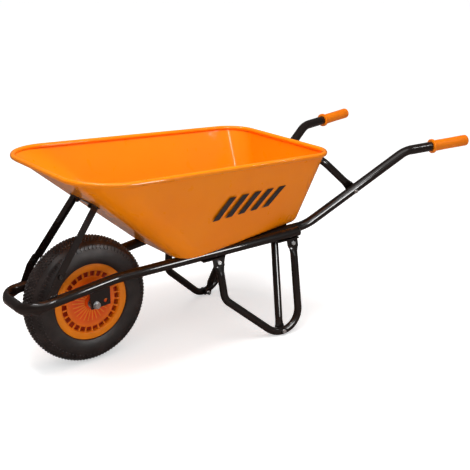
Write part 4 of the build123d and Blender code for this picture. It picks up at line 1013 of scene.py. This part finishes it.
@dataclass
class WheelCentre:
    """The moulded wheel centre: barrel with wide flanges, two windowed discs with ribs, and a hub."""

    shop: Workshop
    bead_radius: float = 0.1014
    barrel_inner: float = 0.0975
    flange_half: float = 0.041
    flange_thickness: float = 0.0035
    window_count: int = 26
    window_outer: float = 0.0972
    window_inner: float = 0.0815
    window_bar: float = 0.0044
    window_plane: float = 0.0345
    margin: float = 0.003
    disc_thickness: float = 0.0035
    dish_sag: float = 0.003
    hub_face: float = 0.0395
    hub_radius: float = 0.024
    hub_half: float = 0.05
    hub_cone: float = 0.010
    hub_cone_depth: float = 0.003
    bearing_radius: float = 0.0161
    bearing_depth: float = 0.0101
    bar_steps: int = 2
    window_steps: int = 4
    rib_height: float = 0.0052
    rib_thickness: float = 0.0032
    ridge_radius: float = 0.0796
    # Dark sheets behind the windows stand for the shade inside the wheel.
    shade_sheet_radius: float = 0.074
    shade_sheet_plane: float = 0.0215
    shade_sheet_thickness: float = 0.0018
    mouth_flare: float = 0.0028
    rib_lean: float = 0.10
    steps: int = 156

    @property
    def flange_radius(self) -> float:
        """Outer radius of the flanges."""
        low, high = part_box("wheel_rim")
        return (high.z - low.z) / 2

    def barrel(self) -> bpy.types.Mesh:
        """Barrel and flanges, with eased edges."""
        low, half, thick = self.barrel_inner, self.flange_half, self.flange_thickness
        root = half - thick - 0.0015
        outline = [
            (self.flange_radius, -half),
            (self.flange_radius, -half + thick),
            (self.bead_radius, -root),
            (self.bead_radius, root),
            (self.flange_radius, half - thick),
            (self.flange_radius, half),
            (low + self.mouth_flare, half),
            (low, half - 0.005),
            (low, 0.005 - half),
            (low + self.mouth_flare, -half),
        ]
        rings = lathe(rounded(outline, 0.0012), self.steps)
        return MeshDraft().rows(rings, closed=True).mesh("rim_barrel", 50.0)

    def hub(self) -> bpy.types.Mesh:
        """Hub, bored for the bearings at its ends."""
        seat = self.hub_half - self.bearing_depth
        upper = [
            (self.hub_radius, self.hub_half - self.hub_cone),
            (self.hub_radius - self.hub_cone_depth, self.hub_half),
            (self.bearing_radius, self.hub_half),
            (self.bearing_radius, seat),
            (self.bearing_radius - 0.0026, seat),
        ]
        outline = upper + [(radius, -y) for radius, y in reversed(upper)]
        return MeshDraft().rows(lathe(rounded(outline, 0.0008), 72), closed=True).mesh("rim_hub", 50.0)

    def disc_height(self, radius: float) -> float:
        """Distance of a disc's outer face from the wheel's middle at a radius."""
        edge = self.window_inner - self.margin
        if radius >= edge:
            return self.window_plane
        share = (edge - radius) / (edge - self.hub_radius)
        sag = self.dish_sag * sin(pi * share)
        eased = share**1.35
        return self.window_plane + (self.hub_face - self.window_plane) * eased - sag

    def angles(self) -> list[float]:
        """Angles of the disc's grid: fine over the bars between windows, then over the windows."""
        pitch = 2 * pi / self.window_count
        middle = 0.5 * (self.window_outer + self.window_inner)
        bar = self.window_bar / middle
        result = []
        for window in range(self.window_count):
            start = pitch * (window + 0.5) - bar / 2
            result += [start + bar * k / self.bar_steps for k in range(self.bar_steps)]
            result += [start + bar + (pitch - bar) * k / self.window_steps for k in range(self.window_steps)]
        return result

    def disc(self, side: Side) -> bpy.types.Mesh:
        """One dished disc with its ring of windows."""
        edge = self.window_inner - self.margin
        radii = [self.barrel_inner + 0.001, self.window_outer, self.window_inner, edge]
        radii += [edge + (self.hub_radius - 0.001 - edge) * k / 9 for k in range(1, 10)]
        angles = self.angles()
        sector = self.bar_steps + self.window_steps
        draft = MeshDraft()
        for radius in radii:
            height = side.value * self.disc_height(radius)
            for angle in angles:
                draft.points.append(AXLE + Vector((radius * cos(angle), height, radius * sin(angle))))
        for i in range(len(radii) - 1):
            for j in range(len(angles)):
                if i == 1 and j % sector >= self.bar_steps:
                    continue
                k = (j + 1) % len(angles)
                a, b = i * len(angles), (i + 1) * len(angles)
                face = (a + j, b + j, b + k, a + k)
                draft.faces.append(face if side is Side.LEFT else face[::-1])
        mesh = bpy.data.meshes.new("disc_skin")
        mesh.from_pydata([tuple(point) for point in draft.points], [], draft.faces)
        solid = {"thickness": self.disc_thickness, "offset": -1.0, "use_even_offset": True}
        bevel = {"width": 0.0006, "segments": 2, "limit_method": "ANGLE", "angle_limit": radians(50)}
        built = self.shop.finished(f"rim_disc_{side.word}", mesh, [("SOLIDIFY", solid), ("BEVEL", bevel)])
        return clean(built, 50.0)

    def ridge(self, side: Side) -> bpy.types.Mesh:
        """Low ring that stiffens a disc just inside its windows."""
        base = side.value * (self.window_plane - 0.001)
        top = side.value * (self.window_plane + 0.0024)
        near, far = self.ridge_radius - 0.0012, self.ridge_radius + 0.0012
        outline = rounded([(near, base), (far, base), (far, top), (near, top)], 0.0008)
        return MeshDraft().rows(lathe(outline, self.steps), closed=True).mesh(f"rim_ridge_{side.word}", 50.0)

    def web(self, side: Side) -> bpy.types.Mesh:
        """Thin ring in the barrel behind a disc's windows, which closes them as pockets: a dark sheet of
        painted shade, where the inside of the wheel lies in shade.
        """
        near, far = self.shade_sheet_plane * side.value, (self.shade_sheet_plane + self.shade_sheet_thickness) * side.value
        inner, outer = self.shade_sheet_radius, self.barrel_inner + 0.001
        outline = rounded([(inner, near), (outer, near), (outer, far), (inner, far)], 0.0006)
        return MeshDraft().rows(lathe(outline, self.steps), closed=True).mesh(f"rim_web_{side.word}", 50.0)

    def ribs(self) -> bpy.types.Mesh:
        """Thin curved ribs from the hub past each bar between windows, on both discs."""
        tree = Pattern("rim_ribs")
        count = tree.input("Ribs", self.window_count)
        inner_point = Vector((self.hub_radius - 0.001, 0.0, self.hub_face + self.rib_height * 0.3))
        inner = tree.input("Inner Point", inner_point)
        lean = self.rib_lean
        half = 0.5 * (self.hub_radius + self.window_inner)
        bend = Vector((half * cos(lean), half * sin(lean), self.disc_height(half) - 0.002))
        middle = tree.input("Bend Point", bend)
        outer = tree.input("Outer Point", Vector((self.barrel_inner, 0.0, self.window_plane - 0.0004)))
        height = tree.input("Rib Height", self.rib_height)
        thick = tree.input("Rib Thickness", self.rib_thickness)
        curve = tree.add("GeometryNodeCurveQuadraticBezier", {"Start": inner, "Middle": middle, "End": outer})
        curve.inputs["Resolution"].default_value = 14
        normal = tree.add("GeometryNodeSetCurveNormal", {"Curve": curve.outputs["Curve"]}, mode="Z_UP")
        section = tree.add("GeometryNodeCurvePrimitiveQuadrilateral", {"Width": thick, "Height": height})
        swept_rib = tree.add(
            "GeometryNodeCurveToMesh",
            {"Curve": normal.outputs["Curve"], "Profile Curve": section.outputs["Curve"], "Fill Caps": True},
        ).outputs["Mesh"]
        line = tree.add("GeometryNodeMeshLine", {"Count": tree.maths("MULTIPLY", count, 2.0)}).outputs["Mesh"]
        still = tree.add("GeometryNodeSetPosition", {"Geometry": line, "Position": tree.vector()})
        index = tree.add("GeometryNodeInputIndex").outputs["Index"]
        far = tree.maths("FLOOR", tree.maths("DIVIDE", index, count))
        step = tree.maths("ADD", tree.maths("MODULO", index, count), 0.5)
        around = tree.maths("MULTIPLY", tree.maths("DIVIDE", step, count), 2 * pi)
        flip = tree.maths("MULTIPLY", far, pi)
        rotation = tree.vector(flip, 0.0, around)
        ones = (1.0, 1.0, 1.0)
        ribs = tree.scatter(still.outputs["Geometry"], swept_rib, rotation, ones)
        mesh = tree.make(ribs, "rim_ribs", self.shop.paints.material(Finish.orange_rim_plastic))
        mesh.transform(Matrix.Translation(AXLE) @ Matrix.Rotation(pi / 2, 4, "X"))
        return clean(mesh, 35.0)

    def build(self) -> None:
        """Make the wheel centre's pieces."""
        finish = Finish.orange_rim_plastic
        self.shop.piece("rim_barrel", self.barrel(), finish, Body.WHEEL, ["wheel_rim"])
        self.shop.piece("rim_hub", self.hub(), finish, Body.WHEEL)
        # Painted highlight: the ribs and ridges take a lighter copy of the rim plastic.
        light = Finish.rim_rib_painted_highlight
        # Painted shade: the sheets behind the windows take a darker copy of the rim plastic.
        dark = Finish.rim_pocket_painted_shade
        for side in Side:
            self.shop.piece(f"rim_disc_{side.word}", self.disc(side), finish, Body.WHEEL)
            self.shop.piece(f"rim_ridge_{side.word}", self.ridge(side), light, Body.WHEEL, slot=finish.name)
            self.shop.piece(f"rim_web_{side.word}", self.web(side), dark, Body.WHEEL, slot=finish.name)
        self.shop.piece("rim_ribs", self.ribs(), light, Body.WHEEL, slot=finish.name)
        self.shop.dress(Finish.black_rubber, "inner_tube", "valve_cap")
        self.shop.dress(Finish.valve_brass, "valve_stem")
        self.shop.dress(Finish.bearing_steel, "bearing_outer_races", "bearing_balls")


@dataclass(frozen=True)
class OutlineEnd:
    """One end of the tray's rim or floor outline."""

    x: float
    half_width: float
    height: float
    corner: float


@dataclass
class Tray:
    """The pressed steel tray: one drawn skin with its thickness, and the rolled edge round its rim."""

    shop: Workshop
    rim_front: OutlineEnd = OutlineEnd(-0.126, 0.298, 0.626, 0.145)
    rim_rear: OutlineEnd = OutlineEnd(0.778, 0.263, 0.595, 0.090)
    floor_front: OutlineEnd = OutlineEnd(0.252, 0.185, 0.3094, 0.075)
    floor_rear: OutlineEnd = OutlineEnd(0.738, 0.142, 0.3485, 0.048)
    floor_bend: float = 0.030
    wall: float = 0.0016
    bead_radius: float = 0.008
    corner_steps: int = 18
    side_steps: int = 20
    end_steps: int = 12
    wall_rows: int = 16
    bend_rows: int = 6
    bead_steps: int = 18

    def corners(self, front: OutlineEnd, rear: OutlineEnd) -> list[tuple[Vector, float]]:
        """Corner points with their radii, in order round the outline."""
        result = []
        for end, sign in ((front, -1), (rear, -1), (rear, 1), (front, 1)):
            result.append((DATUM + Vector((end.x, sign * end.half_width, end.height)), end.corner))
        return result

    def outline(self, front: OutlineEnd, rear: OutlineEnd) -> list[Vector]:
        """Points round an outline, with the same count on each arc and side for any outline."""
        places = self.corners(front, rear)
        points = []
        for number, (corner, radius) in enumerate(places):
            before = (places[number - 1][0] - corner).normalized()
            following = places[(number + 1) % 4]
            after = (following[0] - corner).normalized()
            turn = pi - before.angle(after)
            reach = radius * tan(turn / 2)
            centre = corner + (before + after).normalized() * hypot(radius, reach)
            arm = corner + before * reach - centre
            axis = (-before).cross(after).normalized()
            arc_points = []
            for k in range(self.corner_steps + 1):
                arc_points.append(centre + Quaternion(axis, turn * k / self.corner_steps) @ arm)
            points += arc_points
            steps = self.side_steps if number % 2 == 0 else self.end_steps
            next_turn = pi - (-after).angle((places[(number + 2) % 4][0] - following[0]).normalized())
            goal = following[0] - after * following[1] * tan(next_turn / 2)
            last = arc_points[-1]
            points += [last + (goal - last) * (k / steps) for k in range(1, steps)]
        return points

    def skin_rows(self) -> list[list[Vector]]:
        """Rows of the outer skin from the rim down the wall, round the bend and in over the floor."""
        rim = self.outline(self.rim_front, self.rim_rear)
        floor = self.outline(self.floor_front, self.floor_rear)
        middle = sum(floor, Vector()) / len(floor)
        up = (floor[1] - middle).cross(floor[len(floor) // 3] - middle).normalized()
        up = up if up.z > 0 else -up
        count = len(floor)
        starts, ends = [], []
        for j in range(count):
            tangent = (floor[(j + 1) % count] - floor[j - 1]).normalized()
            inward = up.cross(tangent).normalized()
            if inward.dot(middle - floor[j]) < 0:
                inward = -inward
            rise = (rim[j] - floor[j]).normalized()
            turn = pi - rise.angle(inward)
            reach = self.floor_bend * tan(turn / 2)
            starts.append(floor[j] + rise * reach)
            ends.append(floor[j] + inward * reach)
        rows = []
        for i in range(self.wall_rows + 1):
            t = i / self.wall_rows
            rows.append([rim[j].lerp(starts[j], t) for j in range(count)])
        for i in range(1, self.bend_rows + 1):
            t = i / self.bend_rows
            row = []
            for j in range(count):
                row.append(starts[j] * (1 - t) ** 2 + floor[j] * 2 * t * (1 - t) + ends[j] * t * t)
            rows.append(row)
        for share in (0.25, 0.5, 0.75, 0.93):
            rows.append([ends[j].lerp(self.spine(ends[j], middle), share) for j in range(count)])
        return rows

    @staticmethod
    def spine(point: Vector, middle: Vector) -> Vector:
        """The floor's point that a point on its edge runs in towards."""
        half_spine = 0.16
        off = point - middle
        along = max(-half_spine, min(half_spine, off.x))
        share = abs(along / max(1e-6, abs(off.x)))
        return Vector((middle.x + along, 0.0, middle.z + off.z * share))

    def pan(self) -> bpy.types.Mesh:
        """The drawn pan, with the sheet's thickness on its inner side."""
        rows = self.skin_rows()
        draft = MeshDraft().rows(rows)
        last = (len(rows) - 1) * len(rows[0])
        draft.faces.append(tuple(range(last, last + len(rows[0]))))
        mesh = draft.mesh("tray_skin", 60.0)
        lowest = min(mesh.polygons, key=lambda face: face.center.z)
        if lowest.normal.z > 0:
            mesh.flip_normals()
        solid = {"thickness": self.wall, "offset": -1.0, "use_even_offset": True}
        return clean(self.shop.finished("tray_pan", mesh, [("SOLIDIFY", solid)]), 60.0)

    def rolled_edge(self) -> bpy.types.Mesh:
        """The edge rolled outwards over a wire, closed against the wall."""
        rim = self.outline(self.rim_front, self.rim_rear)
        count = len(rim)
        rings = []
        for j in range(count):
            along = (rim[(j + 1) % count] - rim[j - 1]).normalized()
            side = Vector((0.0, 0.0, 1.0)).cross(along).normalized()
            over = along.cross(side)
            ring = []
            for k in range(self.bead_steps):
                angle = 2 * pi * k / self.bead_steps
                ring.append(rim[j] + (side * cos(angle) + over * sin(angle)) * self.bead_radius)
            rings.append(ring)
        return MeshDraft().rows(rings, closed=True).mesh("tray_rolled_edge", 60.0)

    def wall_point(self, side: Side, along: float, rise: float, stand: float) -> Vector:
        """A point on the outside of a side wall.

        Args:
            side: Which side wall.
            along: Distance behind the axle.
            rise: Share of the way from the floor's edge to the rim.
            stand: Distance that the point stands off the wall.

        Returns:
            The point.
        """
        def edge(front: OutlineEnd, rear: OutlineEnd) -> Vector:
            share = (along - front.x) / (rear.x - front.x)
            half = front.half_width + (rear.half_width - front.half_width) * share
            height = front.height + (rear.height - front.height) * share
            return Vector((along, half * side.value, height))

        low = edge(self.floor_front, self.floor_rear)
        high = edge(self.rim_front, self.rim_rear)
        outward = Vector((0.0, side.value * (high.z - low.z), -abs(high.y - low.y))).normalized()
        return DATUM + low.lerp(high, rise) + outward * stand

    def stripes(self, side: Side) -> bpy.types.Mesh:
        """A row of plain slanted bars of dark film on a side wall."""
        bars, pitch, width, slant = 5, 0.050, 0.026, 0.05
        low, high, start = 0.42, 0.66, 0.325
        draft = MeshDraft()
        for bar in range(bars):
            rows = []
            for i in range(7):
                rise = low + (high - low) * i / 6
                lean = slant * i / 6
                left = start + bar * pitch + lean
                places = [left + width * k / 4 for k in range(5)]
                top = [self.wall_point(side, x, rise, 0.0006) for x in places]
                back = [self.wall_point(side, x, rise, 0.0001) for x in reversed(places)]
                rows.append(top + back)
            draft.rows(rows, caps=True)
        return draft.mesh(f"tray_stripes_{side.word}", 30.0)

    def build(self) -> None:
        """Make the tray's pieces."""
        self.shop.piece("tray_pan", self.pan(), Finish.orange_paint, replaces=["tray"])
        self.shop.piece("tray_rolled_edge", self.rolled_edge(), Finish.orange_paint)
        for side in Side:
            name = f"tray_stripes_{side.word}"
            self.shop.piece(name, self.stripes(side), Finish.stripe_film, slot="black_frame_paint")


@dataclass
class BentFrame:
    """The front loop and the two handle tubes, whose bends are a little flattened by the bender."""

    shop: Workshop
    tube_radius: float = 0.016
    nose: Vector = field(default_factory=lambda: Vector((-0.231, 0.090, 0.237)))
    rail_bend: Vector = field(default_factory=lambda: Vector((0.062, 0.090, 0.278)))
    rail_end: Vector = field(default_factory=lambda: Vector((0.696, 0.181, 0.329)))
    nose_radius: float = 0.052
    rail_radius: float = 0.320
    handle_gap: float = 0.0321
    handle_start: float = 0.305
    handle_bend: float = 0.749
    handle_radius: float = 0.130
    knee: Vector = field(default_factory=lambda: Vector((1.096, 0.263, 0.559)))
    knee_radius: float = 0.095
    grip_end: Vector = field(default_factory=lambda: Vector((1.349, 0.309, 0.572)))
    grip_wall: float = 0.004
    nose_squash: float = 0.30
    bend_squash: float = 0.07

    def mirrored(self, point: Vector, side: int) -> Vector:
        """A point of the right side on either side of the barrow, in its frame."""
        return DATUM + Vector((point.x, point.y * side, point.z))

    def flattened(self, flat_bends: dict[int, float]) -> Section:
        """A section that is taller and narrower within some bends.

        Args:
            flat_bends: The squash of each bend, by its number along the tube.

        Returns:
            A function for swept.
        """

        def radius(station: Station, angle: float) -> float:
            squash = flat_bends.get(station.bend, 0.0) * sin(pi * station.share) ** 0.8
            tall = self.tube_radius * (1 + squash * (0.5 if cos(angle) > 0 else 1.3))
            slim = self.tube_radius * (1 - squash)
            return tall * slim / sqrt((slim * cos(angle)) ** 2 + (tall * sin(angle)) ** 2)

        return radius

    def front_loop(self) -> bpy.types.Mesh:
        """The loop round the wheel, with a press mark in each of the nose corners."""
        half = [self.rail_end, self.rail_bend, self.nose]
        corners = [self.mirrored(p, -1) for p in half] + [self.mirrored(p, 1) for p in reversed(half)]
        radii = [self.rail_radius, self.nose_radius, self.nose_radius, self.rail_radius]
        stations = route(corners, radii, 0.006)
        plain = self.flattened({1: self.nose_squash, 2: self.nose_squash})

        def dented(station: Station, angle: float) -> float:
            radius = plain(station, angle)
            if station.bend in (1, 2):
                low = 3.5 if station.bend == 1 else 1.57
                turn = (angle - low + pi) % (2 * pi) - pi
                near = ((station.share - 0.5) / 0.15) ** 2 + (turn / 0.40) ** 2
                radius -= 0.0065 * exp(-near)
            return radius

        rings = swept(stations, dented, 36)
        return MeshDraft().rows(rings, caps=True).mesh("front_loop_tube", 50.0)

    def handle_corner(self, x: float) -> Vector:
        """Centre of a handle tube where it lies beside its rail."""
        share = (x - self.rail_bend.x) / (self.rail_end.x - self.rail_bend.x)
        point = self.rail_bend.lerp(self.rail_end, share)
        run = self.rail_end - self.rail_bend
        splay, rise = run.y / run.x, run.z / run.x
        point.y -= self.handle_gap * sqrt(1 + splay**2 / (1 + rise**2))
        return point

    def handle_tube(self, side: Side) -> bpy.types.Mesh:
        """One handle tube."""
        inward = (self.knee - self.grip_end).normalized()
        half = [
            self.handle_corner(self.handle_start),
            self.handle_corner(self.handle_bend),
            self.knee,
            self.grip_end + inward * self.grip_wall,
        ]
        corners = [self.mirrored(p, side.value) for p in half]
        stations = route(corners, [self.handle_radius, self.knee_radius], 0.008)
        rings = swept(stations, self.flattened({0: -self.bend_squash, 1: -self.bend_squash}), 32)
        return MeshDraft().rows(rings, caps=True).mesh(f"handle_tube_bent_{side.word}", 50.0)

    def build(self) -> None:
        """Make the bent tubes and dress the rest of the frame."""
        finish = Finish.black_frame_paint
        self.shop.piece("front_loop_tube", self.front_loop(), finish, replaces=["front_loop"])
        for side in Side:
            node = f"handle_tube_{side.word}"
            self.shop.piece(f"handle_tube_bent_{side.word}", self.handle_tube(side), finish, replaces=[node])
        for part in ("axle_bracket", "leg", "leg_brackets", "leg_brace", "front_stay", "stay_bracket"):
            self.shop.dress(finish, *(f"{part}_{side.word}" for side in Side))
        self.shop.dress(finish, "front_cross_bar", "rear_cross_bar", "rear_hoop", "stay_crosspiece")
        self.shop.dress(Finish.black_plastic, "rail_end_plugs", "handle_front_plugs")


@dataclass
class Grips:
    """The two moulded grips: flared collar, slight barrel and end ring."""

    shop: Workshop
    frame: BentFrame
    length: float = 0.150
    radius: float = 0.019
    collar_radius: float = 0.0245
    collar_length: float = 0.007
    bore: float = 0.01615
    end_round: float = 0.006
    steps: int = 48

    def outline(self) -> list[tuple[float, float]]:
        """Outside and bore of a grip as (radius, distance from the collar's face)."""
        floor = self.length - self.frame.grip_wall + 0.0001
        points = [(0.0, floor), (self.bore, floor), (self.bore, 0.0)]
        points += rounded(
            [
                (self.bore + 0.001, 0.0),
                (self.collar_radius, 0.0),
                (self.collar_radius, self.collar_length),
                (self.radius + 0.0006, self.collar_length + 0.004),
            ],
            0.0016,
        )[4:]
        body_start, body_end = self.collar_length + 0.006, self.length - 0.016
        for i in range(13):
            t = i / 12
            points.append((self.radius - 0.0004 * sin(pi * t), body_start + (body_end - body_start) * t))
        groove = self.length - 0.0125
        points += [(self.radius - 0.0009, groove - 0.0008), (self.radius - 0.0009, groove + 0.0008)]
        points.append((self.radius, groove + 0.0022))
        corner = (self.radius - self.end_round, self.length - self.end_round)
        points += arc(corner, self.end_round, 0, 90, 6)
        points.append((0.0, self.length))
        return points

    def grip(self, side: Side) -> bpy.types.Mesh:
        """One grip on the end of its handle tube."""
        end = self.frame.mirrored(self.frame.grip_end, side.value)
        knee = self.frame.mirrored(self.frame.knee, side.value)
        along = (end - knee).normalized()
        base = end - along * self.length
        turn = along.to_track_quat("Z", "Y")
        rings = []
        for radius, height in self.outline():
            ring = []
            for k in range(self.steps):
                angle = 2 * pi * k / self.steps
                ring.append(base + turn @ Vector((radius * cos(angle), radius * sin(angle), height)))
            rings.append(ring)
        return MeshDraft().rows(rings).mesh(f"grip_moulded_{side.word}", 50.0)

    def build(self) -> None:
        """Make both grips."""
        for side in Side:
            name = f"grip_moulded_{side.word}"
            self.shop.piece(name, self.grip(side), Finish.orange_grip_plastic, replaces=[f"grip_{side.word}"])


@dataclass
class Welds:
    """Rippled weld beads where brackets and bars are joined to the tubes."""

    shop: Workshop
    frame: BentFrame
    bead_radius: float = 0.0026
    ripple_pitch: float = 0.0024

    def seam(self, name: str, start: Vector, end: Vector, seed: int) -> bpy.types.Mesh:
        """One straight bead of overlapping ripples.

        Args:
            name: The piece's name.
            start: Where the bead starts.
            end: Where it ends.
            seed: Seed of its unevenness.

        Returns:
            The bead's mesh.
        """
        tree = Pattern("weld_bead")
        first = tree.input("Start", start)
        last = tree.input("End", end)
        pitch = tree.input("Ripple Pitch", self.ripple_pitch)
        radius = tree.input("Bead Radius", self.bead_radius)
        draw = tree.input("Seed", seed)
        curve = tree.add("GeometryNodeCurvePrimitiveLine", {"Start": first, "End": last}).outputs["Curve"]
        points = tree.add("GeometryNodeCurveToPoints", {"Curve": curve, "Length": pitch}, mode="LENGTH")
        ball_inputs = {"Segments": 10, "Rings": 6, "Radius": radius}
        ball = tree.add("GeometryNodeMeshUVSphere", ball_inputs).outputs["Mesh"]
        spread_values = {2: 0.82, 3: 1.12, "Seed": draw}
        uneven = tree.add("FunctionNodeRandomValue", spread_values, data_type="FLOAT").outputs[1]
        scale = tree.vector(tree.maths("MULTIPLY", uneven, 0.9), uneven, uneven)
        beads = tree.scatter(points.outputs["Points"], ball, (0.0, 0.0, 0.0), scale)
        return clean(tree.make(beads, name, self.shop.paints.material(Finish.weld_paint)), 60.0, False)

    def build(self) -> None:
        """Make the beads at the axle brackets, stay brackets and cross bars."""
        seams = []
        for side in Side:
            low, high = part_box(f"axle_bracket_{side.word}")
            inner = low.y if side is Side.RIGHT else high.y
            top = high.z - 0.013
            seams.append((Vector((low.x + 0.006, inner, top - 0.012)), Vector((high.x - 0.004, inner, top))))
            low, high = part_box(f"stay_bracket_{side.word}")
            outer = high.y if side is Side.RIGHT else low.y
            middle = (low.x + high.x) / 2 - 0.012
            foot = Vector((middle, outer, low.z + 0.007))
            seams.append((foot - Vector((0.011, 0.0, 0.0016)), foot + Vector((0.011, 0.0, 0.0016))))
            for bar in ("front_cross_bar", "rear_cross_bar"):
                low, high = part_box(bar)
                reach = (high.y if side is Side.RIGHT else low.y) - side.value * 0.004
                start = Vector((low.x + 0.003, reach, low.z))
                seams.append((start, Vector((high.x - 0.003, reach, low.z + 0.003))))
        for number, (start, end) in enumerate(seams):
            name = f"weld_bead_{number + 1}"
            mesh = self.seam(name, start, end, number + 3)
            self.shop.piece(name, mesh, Finish.weld_paint, slot="black_frame_paint")


@dataclass
class Hardware:
    """Bolts, nuts, washers and the axle's parts, kept as they are in the frame."""

    shop: Workshop

    def build(self) -> None:
        """Dress every fastener and axle part."""
        bright = ("tray_middle", "tray_front", "tray_rear", "hoop", "leg", "brace_foot")
        # The stay and crosspiece fasteners get a darker zinc.
        dark_groups = ("crosspiece", "stay")
        for finish, groups in ((Finish.zinc_steel, bright), (Finish.dark_zinc, dark_groups)):
            for group in groups:
                self.shop.dress(finish, f"{group}_bolts", f"{group}_nuts")
        self.shop.dress(Finish.zinc_steel, "axle_bolt", "axle_nut", "axle_washers")
        self.shop.dress(Finish.bearing_steel, "bearing_inner_races", "bearing_sleeve", "axle_spacers")


# ---- studio ------------------------------------------------------------------------------------
class Use(Enum):
    """What a softbox adds to the picture."""

    FILL = "light only"
    MIRRORED = "reflection only"
    BOTH = "light and reflection"


@dataclass
class Softbox:
    """One rectangular studio light."""

    name: str
    place: Vector
    aim: Vector
    width: float
    height: float
    power: float
    use: Use

    def build(self) -> None:
        """Add the light to the scene."""
        data = bpy.data.lights.new(self.name, "AREA")
        data.shape = "RECTANGLE"
        data.size, data.size_y = self.width, self.height
        data.energy = self.power
        lamp = bpy.data.objects.new(self.name, data)
        bpy.context.scene.collection.objects.link(lamp)
        lamp.location = self.place
        lamp.rotation_mode = "QUATERNION"
        lamp.rotation_quaternion = (self.aim - self.place).to_track_quat("-Z", "Y")
        lamp.visible_glossy = self.use is not Use.FILL
        lamp.visible_diffuse = self.use is not Use.MIRRORED


@dataclass
class Studio:
    """Pale floor, soft light from above and the front left, and the camera."""

    shop: Workshop
    eye: Vector = field(default_factory=lambda: Vector((-1.2381, -2.4546, 1.2929)))
    target: Vector = field(default_factory=lambda: Vector((0.5723, 0.0, 0.2913)))
    lens: float = 72.73
    sky_seen: float = 1.0
    sky_mirrored: float = 0.1
    sky_fill: float = 0.34
    sun: float = 0.74
    floor_reach: float = 60.0

    def camera(self) -> None:
        """Add the camera and make it the scene's."""
        data = bpy.data.cameras.new("camera")
        data.sensor_width = 36.0
        data.lens = self.lens
        data.clip_end = 60.0
        camera = bpy.data.objects.new("camera", data)
        bpy.context.scene.collection.objects.link(camera)
        camera.location = DATUM + self.eye
        camera.rotation_mode = "QUATERNION"
        camera.rotation_quaternion = (self.target - self.eye).to_track_quat("-Z", "Y")
        bpy.context.scene.camera = camera

    def floor(self) -> None:
        """Add the floor as staging."""
        reach = self.floor_reach
        corners = [(-reach, -reach, 0.0), (reach, -reach, 0.0), (reach, reach, 0.0), (-reach, reach, 0.0)]
        mesh = bpy.data.meshes.new("studio_floor")
        mesh.from_pydata([(x, y, CAD_BOX[0].z - 0.0005) for x, y, _ in corners], [], [(0, 1, 2, 3)])
        floor = bpy.data.objects.new("studio_floor", mesh)
        bpy.context.scene.collection.objects.link(floor)
        mesh.materials.append(self.shop.paints.material(Finish.studio_floor))

    def sky(self) -> None:
        """Add a white surround: bright to the camera, softer as fill, and dark in reflections."""
        world = bpy.data.worlds.new("studio_sky")
        world.use_nodes = True
        nodes, links = world.node_tree.nodes, world.node_tree.links
        path = nodes.new("ShaderNodeLightPath")
        strength = self.sky_fill
        for ray, value in (("Is Glossy Ray", self.sky_mirrored), ("Is Camera Ray", self.sky_seen)):
            blend = nodes.new("ShaderNodeMix")
            links.new(path.outputs[ray], blend.inputs["Factor"])
            if isinstance(strength, float):
                blend.inputs["A"].default_value = strength
            else:
                links.new(strength, blend.inputs["A"])
            blend.inputs["B"].default_value = value
            strength = blend.outputs["Result"]
        background = nodes["Background"]
        background.inputs["Color"].default_value = (1.0, 1.0, 1.0, 1.0)
        links.new(strength, background.inputs["Strength"])
        bpy.context.scene.world = world

    def lights(self) -> None:
        """Add an even top light and the softboxes whose reflections draw the highlights."""
        data = bpy.data.lights.new("top_light", "SUN")
        data.energy = self.sun
        data.angle = radians(50)
        lamp = bpy.data.objects.new("top_light", data)
        bpy.context.scene.collection.objects.link(lamp)
        lamp.rotation_euler = (radians(24), radians(-14), 0.0)
        rail = DATUM + Vector((-0.05, -0.10, 0.27))
        tray = DATUM + Vector((0.30, 0.0, 0.45))
        corner = DATUM + Vector((0.70, 0.20, 0.55))
        for name, place, aim, width, height, power, use in (
            ("rail_strip", (0.62, -1.35, 0.66), rail, 0.42, 0.34, 10.0, Use.MIRRORED),
            ("overhead", (-0.45, 0.10, 2.90), tray, 2.0, 0.09, 20.0, Use.BOTH),
            ("corner_strip_left", (0.22, -1.75, 1.72), corner, 0.12, 0.70, 4.0, Use.MIRRORED),
            ("corner_strip_right", (1.97, -1.41, 1.64), corner, 0.04, 0.60, 2.5, Use.MIRRORED),
            ("front_left", (-2.40, -1.60, 1.90), tray, 0.70, 1.30, 3.0, Use.FILL),
            ("inside", (0.30, -0.30, 2.20), tray, 1.20, 0.70, 24.0, Use.FILL),
        ):
            Softbox(name, DATUM + Vector(place), aim, width, height, power, use).build()

    def build(self) -> None:
        """Set up the studio."""
        self.camera()
        self.floor()
        self.sky()
        self.lights()
        bpy.context.scene.view_settings.view_transform = "Standard"


def main() -> None:
    """Build the barrow's looks in order and report each piece."""
    logging.basicConfig(level=logging.INFO, format="%(name)s: %(message)s")
    shop = Workshop()
    tubes = BentFrame(shop)
    for assembly in (
        Tyre(shop),
        WheelCentre(shop),
        Tray(shop),
        tubes,
        Grips(shop, tubes),
        Welds(shop, tubes),
        Hardware(shop),
        Studio(shop),
    ):
        assembly.build()


if __name__ == "__main__":
    main()
